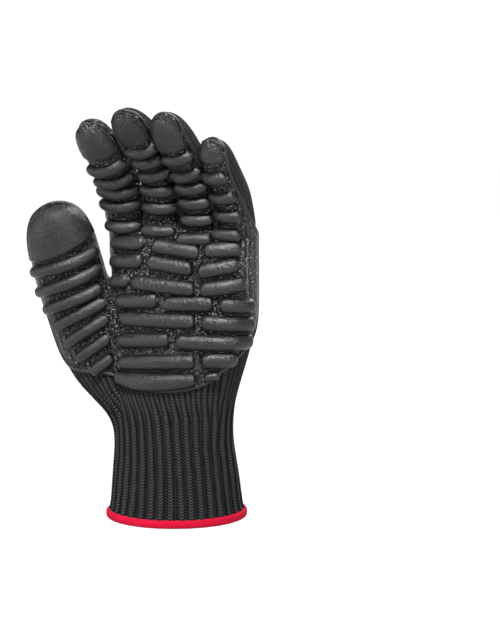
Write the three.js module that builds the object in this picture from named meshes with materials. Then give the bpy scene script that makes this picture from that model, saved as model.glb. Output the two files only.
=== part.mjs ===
// An anti-vibration work glove for the left hand: a seamless knitted liner with a ribbed cuff,
// a rubber coat over the palm and fingertips, moulded rubber pads, a red hem and a label.
// Millimetres, +Z up. The glove stands on its cuff with the palm facing -Y and the thumb at -X.
// The origin is the centre of the cuff opening, in the plane of the hem's lower edge.

import * as THREE from "three";

// Driving sizes
const HAND_LENGTH = 176; // hem to the finger crotches
const PALM_WIDTH = 97;
const PALM_DEPTH = 40;
const CUFF_WIDTH = 84;
const CUFF_DEPTH = 58;
const WRIST_WIDTH = 73;
const WRIST_DEPTH = 50;
const KNIT_WALL = 2;
const COAT_WALL = 1.2;
const PAD_RISE = 3.2;
const CAP_RISE = 1.6; // how far the coat thickens into the smooth fingertip caps
const HEM_HEIGHT = 5.2;
const HEM_WIDTH = 4.2;
const LABEL_WIDTH = 48;
const LABEL_HEIGHT = 44;
const LABEL_WALL = 0.6;
const GAP = 0.3; // between neighbouring pieces

// The hand is a ring of columns: little-finger side, back, thumb and front
const COLUMNS = 24;
const LITTLE_SIDE = 0;
const BACK = [1, 2, 3, 4, 5, 6, 7, 8, 9]; // from the little finger to the index finger
const THUMB = [10, 11, 12, 13, 14]; // round the outside of the thumb, from back to front
const FRONT = [15, 16, 17, 18, 19, 20, 21, 22, 23]; // from the index finger to the little finger
const FRONT_STATIONS = [-0.41, -0.33, -0.25, -0.125, 0, 0.125, 0.25, 0.33, 0.41]; // shares of the width
const PALM_POWER = 2.4; // how square the palm's section is
const CUFF = 0;
const WRIST = 1;
const PALM = 2;
const SECTION_WIDTH = [CUFF_WIDTH, WRIST_WIDTH, PALM_WIDTH];
const SECTION_DEPTH = [CUFF_DEPTH, WRIST_DEPTH, PALM_DEPTH];

// Rings of the hand: height as a share of its length, base section, shares of that section's width
// and depth, sideways shift as a share of the palm's width, how far the ring has left the cuff's
// oval, its turn in degrees, then the thumb section that it joins: place along the thumb and shares
// of its width and depth
const RINGS = [
  { at: 0.0, base: CUFF, wide: 1, deep: 1, x: -0.005, hand: 0, turn: 20, thumb: [0, 1, 1] },
  { at: 0.05, base: CUFF, wide: 0.965, deep: 0.97, x: -0.005, hand: 0, turn: 18, thumb: [0, 1, 1] },
  { at: 0.16, base: WRIST, wide: 1.07, deep: 1.05, x: -0.01, hand: 0, turn: 13, thumb: [0, 1, 1] },
  { at: 0.28, base: WRIST, wide: 1, deep: 1, x: -0.02, hand: 0, turn: 8, thumb: [0, 1, 1] },
  { at: 0.38, base: WRIST, wide: 1.03, deep: 0.98, x: -0.015, hand: 0.35, turn: 4, thumb: [0.04, 0.95, 1.3] },
  { at: 0.48, base: PALM, wide: 0.84, deep: 1.12, x: 0.01, hand: 0.75, turn: 0, thumb: [0.15, 0.98, 1.22] },
  { at: 0.57, base: PALM, wide: 0.92, deep: 1.1, x: 0.03, hand: 0.95, turn: 0, thumb: [0.26, 1, 1.15] },
  { at: 0.66, base: PALM, wide: 0.98, deep: 1.06, x: 0.046, hand: 1, turn: 0, thumb: [0.36, 1, 1.08] },
  { at: 0.75, base: PALM, wide: 1, deep: 1.02, x: 0.052, hand: 1, turn: 0, thumb: [0.46, 0.98, 1.04] },
  { at: 0.83, base: PALM, wide: 1, deep: 1, x: 0.052, hand: 1, turn: 0, thumb: [0.54, 0.96, 1] },
  { at: 0.89, base: PALM, wide: 1, deep: 0.97, x: 0.052, hand: 1, turn: 0 },
  { at: 0.945, base: PALM, wide: 1, deep: 0.92, x: 0.052, hand: 1, turn: 0 },
  { at: 1.0, base: PALM, wide: 1, deep: 0.84, x: 0.052, hand: 1, turn: 0 },
];
const CUFF_TOP_RING = 4; // the cuff and the hand meet here
const THUMB_SPLIT_RING = 9; // the thumb leaves the hand here
const WEB_OUT = 3; // the thumb crotch beside and below the two columns next to it
const WEB_DIP = 4;
const CROTCH_DIP = 3; // the finger crotches below the columns beside them

// Fingers and thumb: place of the root as shares of the palm's width, the palm's depth and the
// hand's length, then length, width and depth, lean, twist and joint bends in degrees, and how far
// a finger's pads reach round it from its front, in degrees on each side
const FINGERS = [
  {
    name: "index", x: -0.314, y: -0.005, z: 1, length: 82.5, width: 0.235 * PALM_WIDTH, depth: 22,
    lean: -3.5, twist: 8.5, bend: [21.5, 19.5, 3], sway: [2.5, -13, 1], pads: 58,
  },
  {
    name: "middle", x: -0.063, y: 0.018, z: 1.006, length: 94, width: 0.2237 * PALM_WIDTH, depth: 22.5,
    lean: -2.9, twist: 6.5, bend: [18, 21.5, 18.5], sway: [4, -14.5, -1.5], pads: 47,
  },
  {
    name: "ring", x: 0.194, y: 0.03, z: 1, length: 89, width: 0.2268 * PALM_WIDTH, depth: 22.5,
    lean: -1.3, twist: 1.5, bend: [20.5, 17.5, 9], sway: [0.5, -10.5, 1.5], pads: 42,
  },
  {
    name: "little", x: 0.437, y: -0.038, z: 0.989, length: 68, width: 0.2062 * PALM_WIDTH, depth: 20,
    lean: -1.8, twist: -17.5, bend: [18, 15, -1], sway: [5.5, -6, 8.5], pads: 42,
  },
];
const THUMB_SHAPE = {
  name: "thumb", x: -0.309, y: -0.075, z: 0.318, length: 147, width: 41, depth: 30,
  lean: -26, twist: 16, bend: [10, 6, 8], sway: [5, 6, 5],
};
const FINGER_JOINTS = [0, 0.42, 0.72]; // shares of the length
const THUMB_JOINTS = [0.3, 0.5, 0.74];
const JOINT_BLEND = 0.1; // half the share of the length over which a joint bends
const TUBE_STEPS = 200;
const TUBE_SIDES = 8;

// Rings of a finger and of the thumb: place along it, shares of its width and depth, and the coat.
// On a finger's side with a neighbour the coat reaches some degrees beyond the pads. On a free side
// and on the side that faces the web it reaches so many degrees round from the front
const FINGER_RINGS = [
  { at: 0.1, wide: 1, deep: 1, beyond: 14, free: 92, web: 150 },
  { at: 0.26, wide: 0.98, deep: 0.97, beyond: 14, free: 72, web: 150 },
  { at: 0.42, wide: 1, deep: 0.98, beyond: 14, free: 60, web: 125 },
  { at: 0.57, wide: 0.96, deep: 0.93, beyond: 14, free: 57, web: 100 },
  { at: 0.72, wide: 0.97, deep: 0.9, beyond: 14, free: 57, web: 90 },
  { at: 0.86, wide: 0.9, deep: 0.8, beyond: 16, free: 60, web: 92 },
  { at: 0.965, wide: 0.6, deep: 0.52, beyond: 44, free: 88, web: 110 },
];
const THUMB_RINGS = [
  { at: 0.61, wide: 0.95, deep: 1.02, free: 84, web: 150 },
  { at: 0.69, wide: 0.98, deep: 0.97, free: 88, web: 150 },
  { at: 0.77, wide: 0.95, deep: 0.92, free: 92, web: 148 },
  { at: 0.85, wide: 0.92, deep: 0.86, free: 98, web: 145 },
  { at: 0.925, wide: 0.8, deep: 0.74, free: 112, web: 140 },
  { at: 0.98, wide: 0.52, deep: 0.46, free: 135, web: 145 },
];
const TIP_AT = 1.017;
const TIP_COVER = 0.7;
const SIDE_ANGLE = [90, 135, 180, 135, 90, 45, 0, 45]; // of a tube's 8 corners, from the front
const COVER_STEP = 45; // degrees for which the cover changes by one

// Coat cover of the hand: where it is positive there is coat. Columns have a cover at full height
// and a foot below which the coat ends, as a share of the hand's length
const COLUMN_COVER = { 0: 0.5, 1: -0.7, 8: -1.2, 9: -0.8, 12: -0.3, 13: 0.5, 14: 1.1, 22: 1.2, 23: 1 };
const BACK_COVER = -1.6;
const FRONT_COVER = 1.3;
const FOOT = {
  0: 0.66, 13: 0.62, 14: 0.55, 15: 0.49, 16: 0.47, 17: 0.46,
  18: 0.455, 19: 0.458, 20: 0.466, 21: 0.483, 22: 0.515, 23: 0.56,
};
const FOOT_FADE = 15; // millimetres above the foot at which a column has its full cover
// Cover where the coat wraps round the web to the back, by ring and column
const WEB_COVER = {
  "8:9": -0.3, "9:8": -0.6, "9:9": 0.5, "9:10": -0.1, "10:9": 0.5, "11:9": 0.5, "12:9": 0.5,
};
const WEB_LINE_COVER = 1.2;
const CROTCH_COVER = -2;

// Finger pads: place along the finger as shares of its length
const FINGER_PADS = {
  index: [0.637, 0.512, 0.382, 0.261, 0.136],
  middle: [0.692, 0.587, 0.473, 0.325, 0.205, 0.088],
  ring: [0.687, 0.542, 0.415, 0.298, 0.185, 0.083],
  little: [0.697, 0.498, 0.3, 0.17],
};
const ROOT_REACH = 0.5; // a pad's reach round the finger at its root, as a share of the usual
const ROOT_END = 0.2; // share of the length at which a finger has left the palm
const FINGER_PAD_WIDTH = 7.6;
const ROOT_PAD_WIDTH = 6.6;
const CAP_EDGE = 0.9; // cover at which a cap has its full thickness
const CAP_RIM = 3; // half the length over which the coat thickens into a cap
const CAP_SIDE = -0.2; // how squarely the skin faces the front where a cap's thickness starts
const CAP_START = { index: 0.76, middle: 0.793, ring: 0.776, little: 0.845, thumb: 0.815 };

// Thumb pads: place along the thumb at the outer and the inner end, and the angles of those ends
const THUMB_PADS = [
  { outer: 0.735, inner: 0.785, from: -68, to: 62 },
  { outer: 0.65, inner: 0.7, from: -68, to: 56 },
  { outer: 0.575, inner: 0.62, from: -59, to: 43 },
  { outer: 0.5, inner: 0.56, from: -46, to: 38 },
  { outer: 0.425, inner: 0.48, from: -32, to: 34 },
  { outer: 0.352, inner: 0.395, from: -20, to: 27 },
  { outer: 0.27, inner: 0.3, from: -9, to: 22 },
];
const THUMB_PAD_WIDTH = 7.6;

// Palm pads, row by row from the fingers down: ends across as shares of the palm's width, heights
// of those ends as shares of the hand's length, and for two of them the width and how far the
// lower edge sags in the middle, in mm
const PALM_PADS = [
  { name: "a1", from: -0.42, to: -0.125, start: 0.965, end: 0.975 },
  { name: "a2", from: -0.07, to: 0.24, start: 0.967, end: 0.95 },
  { name: "a3", from: 0.27, to: 0.52, start: 0.957, end: 0.965 },
  { name: "b1", from: -0.42, to: -0.13, start: 0.9, end: 0.914 },
  { name: "b2", from: -0.098, to: 0.195, start: 0.911, end: 0.894 },
  { name: "b3", from: 0.22, to: 0.5, start: 0.885, end: 0.913 },
  { name: "c1", from: -0.4, to: -0.23, start: 0.835, end: 0.842 },
  { name: "c2", from: -0.2, to: 0.208, start: 0.839, end: 0.826 },
  { name: "c3", from: 0.235, to: 0.57, start: 0.824, end: 0.85 },
  { name: "d1", from: -0.33, to: -0.022, start: 0.768, end: 0.782 },
  { name: "d2", from: 0.008, to: 0.325, start: 0.773, end: 0.78 },
  { name: "d3", from: 0.358, to: 0.7, start: 0.776, end: 0.766 },
  { name: "e1", from: -0.295, to: 0.21, start: 0.711, end: 0.718 },
  { name: "e2", from: 0.24, to: 0.7, start: 0.716, end: 0.703 },
  { name: "f1", from: -0.31, to: 0.056, start: 0.635, end: 0.652 },
  { name: "f2", from: 0.086, to: 0.69, start: 0.648, end: 0.643 },
  { name: "g1", from: -0.3, to: 0.212, start: 0.56, end: 0.583 },
  { name: "g2", from: 0.244, to: 0.5, start: 0.585, end: 0.587 },
  { name: "h1", from: -0.34, to: 0.215, start: 0.506, end: 0.52, width: 7, sag: 4 },
  { name: "h2", from: 0.262, to: 0.36, start: 0.528, end: 0.535, width: 5.6 },
];
const PALM_PAD_WIDTH = 8.8;
const PALM_PAD_FAN = 0.55; // how far in from the surface the lines that square up a palm pad meet
const FAN_DEPTH = PALM_DEPTH / 6; // of the feet of those lines, behind the middle of the palm

// A pad's length in shares, with its width and height there, and its section in the same shares
const PAD_END = [
  { along: 1, wide: 0.5, rise: 0.3 },
  { along: 0.9, wide: 0.9, rise: 0.82 },
];
const PAD_SECTION = [
  { across: -1, rise: 0 },
  { across: 1, rise: 0 },
  { across: 0.78, rise: 0.8 },
  { across: 0, rise: 1 },
  { across: -0.78, rise: 0.8 },
];
const PAD_LIFT = 0.4; // clear of the coat, whose facets a pad's straight underside crosses
const ROOT_PAD_LIFT = 1.4; // the same where a finger rises from the palm
const PAD_STEP = 6; // longest stretch between two sections of a palm pad
const PAD_TURN = 22.5; // degrees between two sections of a pad round a finger

const HEM_SECTION = [
  { out: -0.5, up: 0.2 },
  { out: -0.25, up: 0 },
  { out: 0.25, up: 0 },
  { out: 0.5, up: 0.25 },
  { out: 0.5, up: 0.75 },
  { out: 0.2, up: 1 },
  { out: -0.5, up: 1 },
];
const HEM_SIDES = 48;

// The label: its middle, and its fields with their ends as shares of its width, from the
// little-finger side, and of its height
const LABEL_AT = { x: 0.11 * PALM_WIDTH, z: 0.72 * HAND_LENGTH };
const LABEL_CELL = 8;
const LABEL_FIELDS = [
  { name: "label_tab", left: 0, right: 0.155, low: 0.455, high: 1 },
  { name: "label_upper", left: 0.162, right: 1, low: 0.455, high: 1 },
  { name: "label_lower", left: 0, right: 1, low: 0, high: 0.448 },
];

const radians = (degrees) => (degrees * Math.PI) / 180;
const vector = (x, y, z) => new THREE.Vector3(x, y, z);
const mix = (a, b, share) => a + (b - a) * share;

function smoothstep(x) {
  const t = Math.min(1, Math.max(0, x));
  return t * t * (3 - 2 * t);
}

// Materials

function knitMaterial() {
  return new THREE.MeshStandardMaterial({ color: 0x48484b, roughness: 0.95, metalness: 0 });
}

function rubberMaterial() {
  return new THREE.MeshStandardMaterial({ color: 0x2c2c2e, roughness: 0.45, metalness: 0 });
}

function padMaterial() {
  return new THREE.MeshStandardMaterial({ color: 0x343436, roughness: 0.4, metalness: 0 });
}

function hemMaterial() {
  return new THREE.MeshStandardMaterial({ color: 0xc2183c, roughness: 0.9, metalness: 0 });
}

function labelMaterial(name) {
  const colors = { label_upper: 0xe6a82a, label_tab: 0xcf2140, label_lower: 0x3a3637 };
  return new THREE.MeshStandardMaterial({ color: colors[name], roughness: 0.6, metalness: 0 });
}

// A finger's or the thumb's centre line, with a frame of side, back and length at each step

function makeTube(shape, joints) {
  const side = vector(1, 0, 0);
  const back = vector(0, 1, 0);
  const along = vector(0, 0, 1);
  const turn = (axis, degrees) => {
    const rotation = new THREE.Quaternion().setFromAxisAngle(axis.clone(), radians(degrees));
    [side, back, along].forEach((v) => v.applyQuaternion(rotation));
  };
  turn(vector(0, 1, 0), shape.lean);
  turn(along, shape.twist);
  const bentBy = (share, joint) => smoothstep((share - joint + JOINT_BLEND) / (2 * JOINT_BLEND));
  const point = vector(shape.x * PALM_WIDTH, shape.y * PALM_DEPTH, shape.z * HAND_LENGTH);
  const steps = [{ point: point.clone(), side: side.clone(), back: back.clone(), along: along.clone() }];
  for (let i = 0; i < TUBE_STEPS; i += 1) {
    const before = i > 0 ? i / TUBE_STEPS : -1;
    const after = (i + 1) / TUBE_STEPS;
    joints.forEach((joint, j) => {
      const share = bentBy(after, joint) - bentBy(before, joint);
      turn(back, shape.sway[j] * share);
      turn(side, shape.bend[j] * share);
    });
    point.addScaledVector(along, shape.length / TUBE_STEPS);
    steps.push({ point: point.clone(), side: side.clone(), back: back.clone(), along: along.clone() });
  }
  return { shape, steps };
}

function tubeFrame(tube, share) {
  const index = Math.round(Math.min(1, Math.max(0, share)) * TUBE_STEPS);
  const frame = tube.steps[index];
  const beyond = Math.max(0, share - 1) * tube.shape.length;
  return { ...frame, point: frame.point.clone().addScaledVector(frame.along, beyond) };
}

// The 8 corners of a tube's section. Smoothing draws an 8-sided ring in, so the corners stand out
const RING_GROWTH = 6 / (4 + 2 * Math.cos(Math.PI / 4));

function tubeRing(tube, share, wide, deep) {
  const { point, side, back } = tubeFrame(tube, share);
  const ring = [];
  for (let i = 0; i < TUBE_SIDES; i += 1) {
    const angle = (2 * Math.PI * i) / TUBE_SIDES;
    const out = 0.5 * RING_GROWTH * tube.shape.width * wide * Math.cos(angle);
    const up = 0.5 * RING_GROWTH * tube.shape.depth * deep * Math.sin(angle);
    ring.push(point.clone().addScaledVector(side, out).addScaledVector(back, up));
  }
  return ring;
}

// The cage: a coarse net of four-sided faces that smoothing turns into the glove's surface

const cage = { points: [], cover: [], faces: [] };

function addPoint(point, cover) {
  cage.points.push(point.clone());
  cage.cover.push(cover);
  return cage.points.length - 1;
}

// A row of faces round two rings of corners. Its part is the piece that it belongs to
function addRow(lower, upper, part, fine = false) {
  lower.forEach((corner, i) => {
    const next = (i + 1) % lower.length;
    cage.faces.push({ corners: [corner, lower[next], upper[next], upper[i]], part, fine });
  });
}

function addTip(ring, point, part) {
  const tip = addPoint(point, TIP_COVER);
  for (let i = 0; i < TUBE_SIDES; i += 2) {
    const before = ring[(i + TUBE_SIDES - 1) % TUBE_SIDES];
    const after = ring[(i + 1) % TUBE_SIDES];
    cage.faces.push({ corners: [before, ring[i], after, tip], part, fine: true });
  }
}

function ovalCorner(ring, column) {
  const angle = radians((360 / COLUMNS) * column - ring.turn);
  const x = 0.5 * SECTION_WIDTH[ring.base] * ring.wide * Math.cos(angle);
  const y = 0.5 * SECTION_DEPTH[ring.base] * ring.deep * Math.sin(angle);
  return vector(x, y, 0).applyAxisAngle(vector(0, 0, 1), radians(ring.turn));
}

function palmCorner(ring, column) {
  if (column === LITTLE_SIDE) return vector(0.5 * SECTION_WIDTH[ring.base] * ring.wide, 0, 0);
  const atBack = BACK.includes(column);
  const index = atBack ? BACK.length - 1 - BACK.indexOf(column) : FRONT.indexOf(column);
  const station = FRONT_STATIONS[index];
  const share = 1 - Math.abs(2 * station) ** PALM_POWER;
  const y = 0.5 * SECTION_DEPTH[ring.base] * ring.deep * share ** (1 / PALM_POWER);
  return vector(SECTION_WIDTH[ring.base] * ring.wide * station, atBack ? y : -y, 0);
}

function handCover(ringIndex, column, height) {
  const key = `${ringIndex}:${column}`;
  if (key in WEB_COVER) return WEB_COVER[key];
  const usual = FRONT.includes(column) ? FRONT_COVER : BACK_COVER;
  const full = COLUMN_COVER[column] ?? usual;
  const foot = (FOOT[column] ?? 0) * HAND_LENGTH;
  return Math.min(full, (height - foot) / FOOT_FADE);
}

function ringHeight(ring) {
  return Math.max(ring.at * HAND_LENGTH, HEM_HEIGHT + GAP);
}

// One ring of the hand's corners by column. Below the split it takes in the thumb's outside
function addHandRing(ring, ringIndex, thumb) {
  const height = ringHeight(ring);
  const place = vector(ring.x * PALM_WIDTH, 0, height);
  const columns = [LITTLE_SIDE, ...BACK, ...(ring.thumb ? THUMB : []), ...FRONT];
  const corners = {};
  columns.forEach((column) => {
    const oval = ovalCorner(ring, column).add(place);
    let target = palmCorner;
    if (THUMB.includes(column)) {
      const thumbRing = tubeRing(thumb, ...ring.thumb);
      target = () => thumbRing[2 + THUMB.indexOf(column)].clone().sub(place);
    }
    const point = oval.lerp(target(ring, column).add(place), ring.hand);
    corners[column] = addPoint(point, handCover(ringIndex, column, height));
  });
  return corners;
}

// Cover of a tube's corners from how far round the coat reaches on its two sides
function tubeCovers(innerReach, outerReach) {
  const middle = (innerReach + outerReach) / 2;
  const reach = [innerReach, innerReach, middle, outerReach, outerReach, outerReach, middle, innerReach];
  return SIDE_ANGLE.map((angle, i) => (reach[i] - angle) / COVER_STEP);
}

// A finger or thumb grown from a loop of 8 corners. The hand keeps the first row, the sleeve has the rest
function growTube(tube, rings, loop, reachOf) {
  let ring = loop;
  rings.forEach((row, i) => {
    const covers = tubeCovers(...reachOf(row));
    const next = tubeRing(tube, row.at, row.wide, row.deep).map((point, j) => addPoint(point, covers[j]));
    addRow(ring, next, i === 0 ? "hand" : tube.shape.name, i === 0);
    ring = next;
  });
  addTip(ring, tubeFrame(tube, TIP_AT).point, tube.shape.name);
}

function fingerReach({ name, pads }) {
  return (row) => {
    const near = pads + row.beyond;
    return [name === "little" ? row.free : near, name === "index" ? row.web : near];
  };
}

function midpoint(a, b) {
  return cage.points[a].clone().add(cage.points[b]).multiplyScalar(0.5);
}

function buildCage() {
  const thumb = makeTube(THUMB_SHAPE, THUMB_JOINTS);
  const rings = RINGS.map((ring, i) => addHandRing(ring, i, thumb));
  const round = (corners) => Array.from({ length: COLUMNS }, (_, column) => corners[column]);
  for (let i = 0; i < THUMB_SPLIT_RING; i += 1) {
    addRow(round(rings[i]), round(rings[i + 1]), i < CUFF_TOP_RING ? "cuff" : "hand");
  }
  const split = rings[THUMB_SPLIT_RING];
  const [webBack, webFront] = [BACK.at(-1), FRONT[0]];
  const crotch = midpoint(split[webBack], split[webFront]).add(vector(-WEB_OUT, 0, -WEB_DIP));
  const web = addPoint(crotch, WEB_LINE_COVER);

  // the palm above the thumb, closed on the index side by a line that starts at the web
  const line = RINGS.slice(THUMB_SPLIT_RING + 1).map((ring) => {
    const x = (ring.x - 0.5 * ring.wide) * PALM_WIDTH;
    return addPoint(vector(x, 0, ringHeight(ring)), WEB_LINE_COVER);
  });
  const side = [web, ...line];
  const palmLoop = (i) => {
    const corners = rings[THUMB_SPLIT_RING + i];
    return [corners[LITTLE_SIDE], ...BACK.map((c) => corners[c]), side[i], ...FRONT.map((c) => corners[c])];
  };
  for (let i = 0; i + 1 < side.length; i += 1) addRow(palmLoop(i), palmLoop(i + 1), "hand");

  const thumbLoop = [web, split[webBack], ...THUMB.map((column) => split[column]), split[webFront]];
  growTube(thumb, THUMB_RINGS, thumbLoop, (row) => [row.web, row.free]);

  // the four fingers share the top ring's corners, with bridges between them
  const top = rings.at(-1);
  const fronts = FRONT.map((column) => top[column]);
  const backs = BACK.map((column) => top[column]).reverse();
  const bridge = (i) => midpoint(fronts[2 * i], backs[2 * i]).add(vector(0, 0, -CROTCH_DIP));
  const bridges = [side.at(-1), ...[1, 2, 3].map((i) => addPoint(bridge(i), CROTCH_COVER)), top[LITTLE_SIDE]];
  const tubes = { thumb };
  FINGERS.forEach((shape, i) => {
    const tube = makeTube(shape, FINGER_JOINTS);
    const front = fronts.slice(2 * i, 2 * i + 3);
    const back = backs.slice(2 * i, 2 * i + 3).reverse();
    growTube(tube, FINGER_RINGS, [bridges[i + 1], ...back, bridges[i], ...front], fingerReach(shape));
    tubes[shape.name] = tube;
  });
  return tubes;
}

// Catmull-Clark smoothing, once. Points are [x, y, z, cover]. The open edge is kept as a curve

function average(values) {
  const total = values.reduce((sum, value) => sum.map((v, i) => v + value[i]));
  return total.map((v) => v / values.length);
}

function smoothCage() {
  const corners = cage.points.map((p, i) => [p.x, p.y, p.z, cage.cover[i]]);
  const points = corners.map(() => null);
  const store = (value) => points.push(value) - 1;
  const around = corners.map(() => ({ faces: [], edges: [] }));
  const edges = new Map();
  const edgeOf = (a, b) => {
    const key = a < b ? `${a}:${b}` : `${b}:${a}`;
    if (!edges.has(key)) {
      const edge = { ends: [a, b], middle: average([corners[a], corners[b]]), faces: [] };
      edges.set(key, edge);
      around[a].edges.push(edge);
      around[b].edges.push(edge);
    }
    return edges.get(key);
  };
  cage.faces.forEach((face) => {
    face.center = average(face.corners.map((c) => corners[c]));
    face.edges = face.corners.map((c, i) => edgeOf(c, face.corners[(i + 1) % 4]));
    face.edges.forEach((edge) => edge.faces.push(face.center));
    face.corners.forEach((c) => around[c].faces.push(face.center));
  });
  edges.forEach((edge) => {
    const open = edge.faces.length === 1;
    edge.id = store(open ? edge.middle : average([...edge.ends.map((c) => corners[c]), ...edge.faces]));
    edge.open = open;
  });
  corners.forEach((corner, i) => {
    const open = around[i].edges.filter((edge) => edge.open);
    if (open.length > 0) {
      points[i] = corner.map((v, k) => (v + open[0].middle[k] + open[1].middle[k] + v) / 4);
      return;
    }
    const count = around[i].faces.length;
    const faceMean = average(around[i].faces);
    const edgeMean = average(around[i].edges.map((edge) => edge.middle));
    points[i] = corner.map((v, k) => (faceMean[k] + 2 * edgeMean[k] + (count - 3) * v) / count);
  });
  cage.faces.forEach((face) => { face.id = store(face.center); });
  return {
    places: points.map((p) => vector(p[0], p[1], p[2])),
    cover: points.map((p) => p[3]),
  };
}

// Four-sided pieces of a smoothed face: two side by side, or four on a fine row
function pieces(face) {
  const [a, b, c, d] = face.corners;
  const [ab, bc, cd, da] = face.edges.map((edge) => edge.id);
  if (!face.fine) return [[a, ab, cd, d], [ab, b, c, cd]];
  return [[a, ab, face.id, da], [ab, b, bc, face.id], [face.id, bc, c, cd], [da, face.id, cd, d]];
}

function allQuarters(face) {
  return pieces({ ...face, fine: true });
}

const triangles = (quads) => quads.flatMap(([a, b, c, d]) => [[a, b, c], [a, c, d]]);

// Outward directions at the smoothed points, kept level round the cuff's open edge
function normalsOf(places, quads) {
  const normals = places.map(() => vector(0, 0, 0));
  quads.forEach((quad) => {
    const [a, b, c, d] = quad.map((i) => places[i]);
    const normal = c.clone().sub(a).cross(d.clone().sub(b));
    quad.forEach((i) => normals[i].add(normal));
  });
  const lowest = Math.min(...places.map((place) => place.z));
  return normals.map((normal, i) => {
    if (places[i].z === lowest) normal.setZ(0);
    return normal.normalize();
  });
}

// The sides of triangles that no other triangle shares
function openEdge(faces) {
  const directed = new Set(faces.flatMap(([a, b, c]) => [`${a}:${b}`, `${b}:${c}`, `${c}:${a}`]));
  const pairs = [...directed].map((key) => key.split(":").map(Number));
  return pairs.filter(([a, b]) => !directed.has(`${b}:${a}`));
}

function meshFrom(name, places, faces, material) {
  const used = new Map();
  const coordinates = [];
  const index = faces.flat().map((i) => {
    if (!used.has(i)) {
      used.set(i, used.size);
      coordinates.push(places[i].x, places[i].y, places[i].z);
    }
    return used.get(i);
  });
  const geometry = new THREE.BufferGeometry();
  geometry.setAttribute("position", new THREE.Float32BufferAttribute(coordinates, 3));
  geometry.setIndex(index);
  geometry.computeVertexNormals();
  const mesh = new THREE.Mesh(geometry, material);
  mesh.name = name;
  return mesh;
}

// One knitted piece: the smoothed outside, a coarser inside one wall in, and rims where it is open.
// Its lower rim is drawn up by one gap from the piece that it grows out of
function knitPiece(name, part, surface, up) {
  const faces = cage.faces.filter((face) => face.part === part);
  const outer = triangles(faces.flatMap(pieces));
  const count = surface.places.length;
  const inside = surface.places.map((p, i) => p.clone().addScaledVector(surface.normals[i], -KNIT_WALL));
  const places = [...surface.places.map((p) => p.clone()), ...inside];
  const inner = triangles(faces.map((face) => face.corners)).map((t) => t.map((i) => i + count).reverse());
  const uses = new Map();
  faces.forEach((face) => face.edges.forEach((edge) => uses.set(edge, (uses.get(edge) ?? 0) + 1)));
  const rims = [];
  const lifted = new Set();
  faces.forEach((face) => face.edges.forEach((edge, i) => {
    if (uses.get(edge) !== 1) return;
    const [a, b] = [face.corners[i], face.corners[(i + 1) % 4]];
    rims.push([edge.id, a, a + count], [edge.id, a + count, b + count], [b, edge.id, b + count]);
    const lowest = i === 0;
    if (lowest) [a, b, edge.id, a + count, b + count].forEach((id) => lifted.add(id));
  }));
  lifted.forEach((id) => places[id].addScaledVector(up, GAP));
  return meshFrom(name, places, [...outer, ...inner, ...rims], knitMaterial());
}

// The coat: the part of the surface whose cover is positive, cut along cover zero and given a thickness

// How far a place is inside the smooth cap of the finger or thumb that it is closest to. A cap is
// thick on the finger's front and thin round its sides
function capShare(tubes, place, normal) {
  let [nearest, share] = [Infinity, 0];
  Object.entries(tubes).forEach(([name, tube]) => {
    const start = tubeFrame(tube, CAP_START[name]);
    const offset = place.clone().sub(start.point);
    const along = offset.dot(start.along);
    const aside = offset.addScaledVector(start.along, -along).length();
    if (aside >= nearest) return;
    nearest = aside;
    const facing = (-normal.dot(start.back) - CAP_SIDE) / (1 - CAP_SIDE);
    share = smoothstep((along + CAP_RIM) / (2 * CAP_RIM)) * smoothstep(facing);
  });
  return share;
}

function coatMesh(surface, tubes) {
  const points = surface.places.map((place, i) => ({
    place, normal: surface.normals[i], cover: surface.cover[i],
  }));
  const cuts = new Map();
  const cutBetween = (a, b) => {
    const key = a < b ? `${a}:${b}` : `${b}:${a}`;
    if (!cuts.has(key)) {
      const [p, q] = [points[a], points[b]];
      const share = p.cover / (p.cover - q.cover);
      const place = p.place.clone().lerp(q.place, share);
      const normal = p.normal.clone().lerp(q.normal, share).normalize();
      cuts.set(key, points.push({ place, normal, cover: 0 }) - 1);
    }
    return cuts.get(key);
  };
  const faces = [];
  surface.faces.forEach((face) => {
    const kept = [];
    face.forEach((a, i) => {
      const b = face[(i + 1) % 3];
      if (points[a].cover > 0) kept.push(a);
      if (points[a].cover > 0 !== points[b].cover > 0) kept.push(cutBetween(a, b));
    });
    for (let i = 2; i < kept.length; i += 1) faces.push([kept[0], kept[i - 1], kept[i]]);
  });
  const count = points.length;
  const lift = ({ place, normal }, height) => place.clone().addScaledVector(normal, height);
  const under = points.map((point) => lift(point, GAP));
  const over = points.map((point) => {
    const cap = CAP_RISE * capShare(tubes, point.place, point.normal) * smoothstep(point.cover / CAP_EDGE);
    return lift(point, GAP + COAT_WALL + cap);
  });
  const walls = openEdge(faces).flatMap(([a, b]) => [[a, a + count, b + count], [a, b + count, b]]);
  const bottom = faces.map((face) => face.map((i) => i + count).reverse());
  return meshFrom("palm_coat", [...over, ...under], [...faces, ...bottom, ...walls], rubberMaterial());
}

// Pads are placed by lines from inside the glove that meet the top of the coat

function coatTop(surface, tubes) {
  const places = surface.places.map((place, i) => {
    const normal = surface.normals[i];
    return place.clone().addScaledVector(normal, GAP + COAT_WALL + CAP_RISE * capShare(tubes, place, normal));
  });
  return surface.faces.map((face) => face.map((i) => places[i]));
}

function meet(skin, from, direction) {
  const ray = new THREE.Ray(from, direction);
  const hit = vector(0, 0, 0);
  let nearest = null;
  skin.forEach(([a, b, c]) => {
    if (ray.intersectTriangle(a, b, c, false, hit) === null) return;
    const distance = hit.distanceTo(from);
    if (nearest === null || distance < nearest) nearest = distance;
  });
  return nearest;
}

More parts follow.
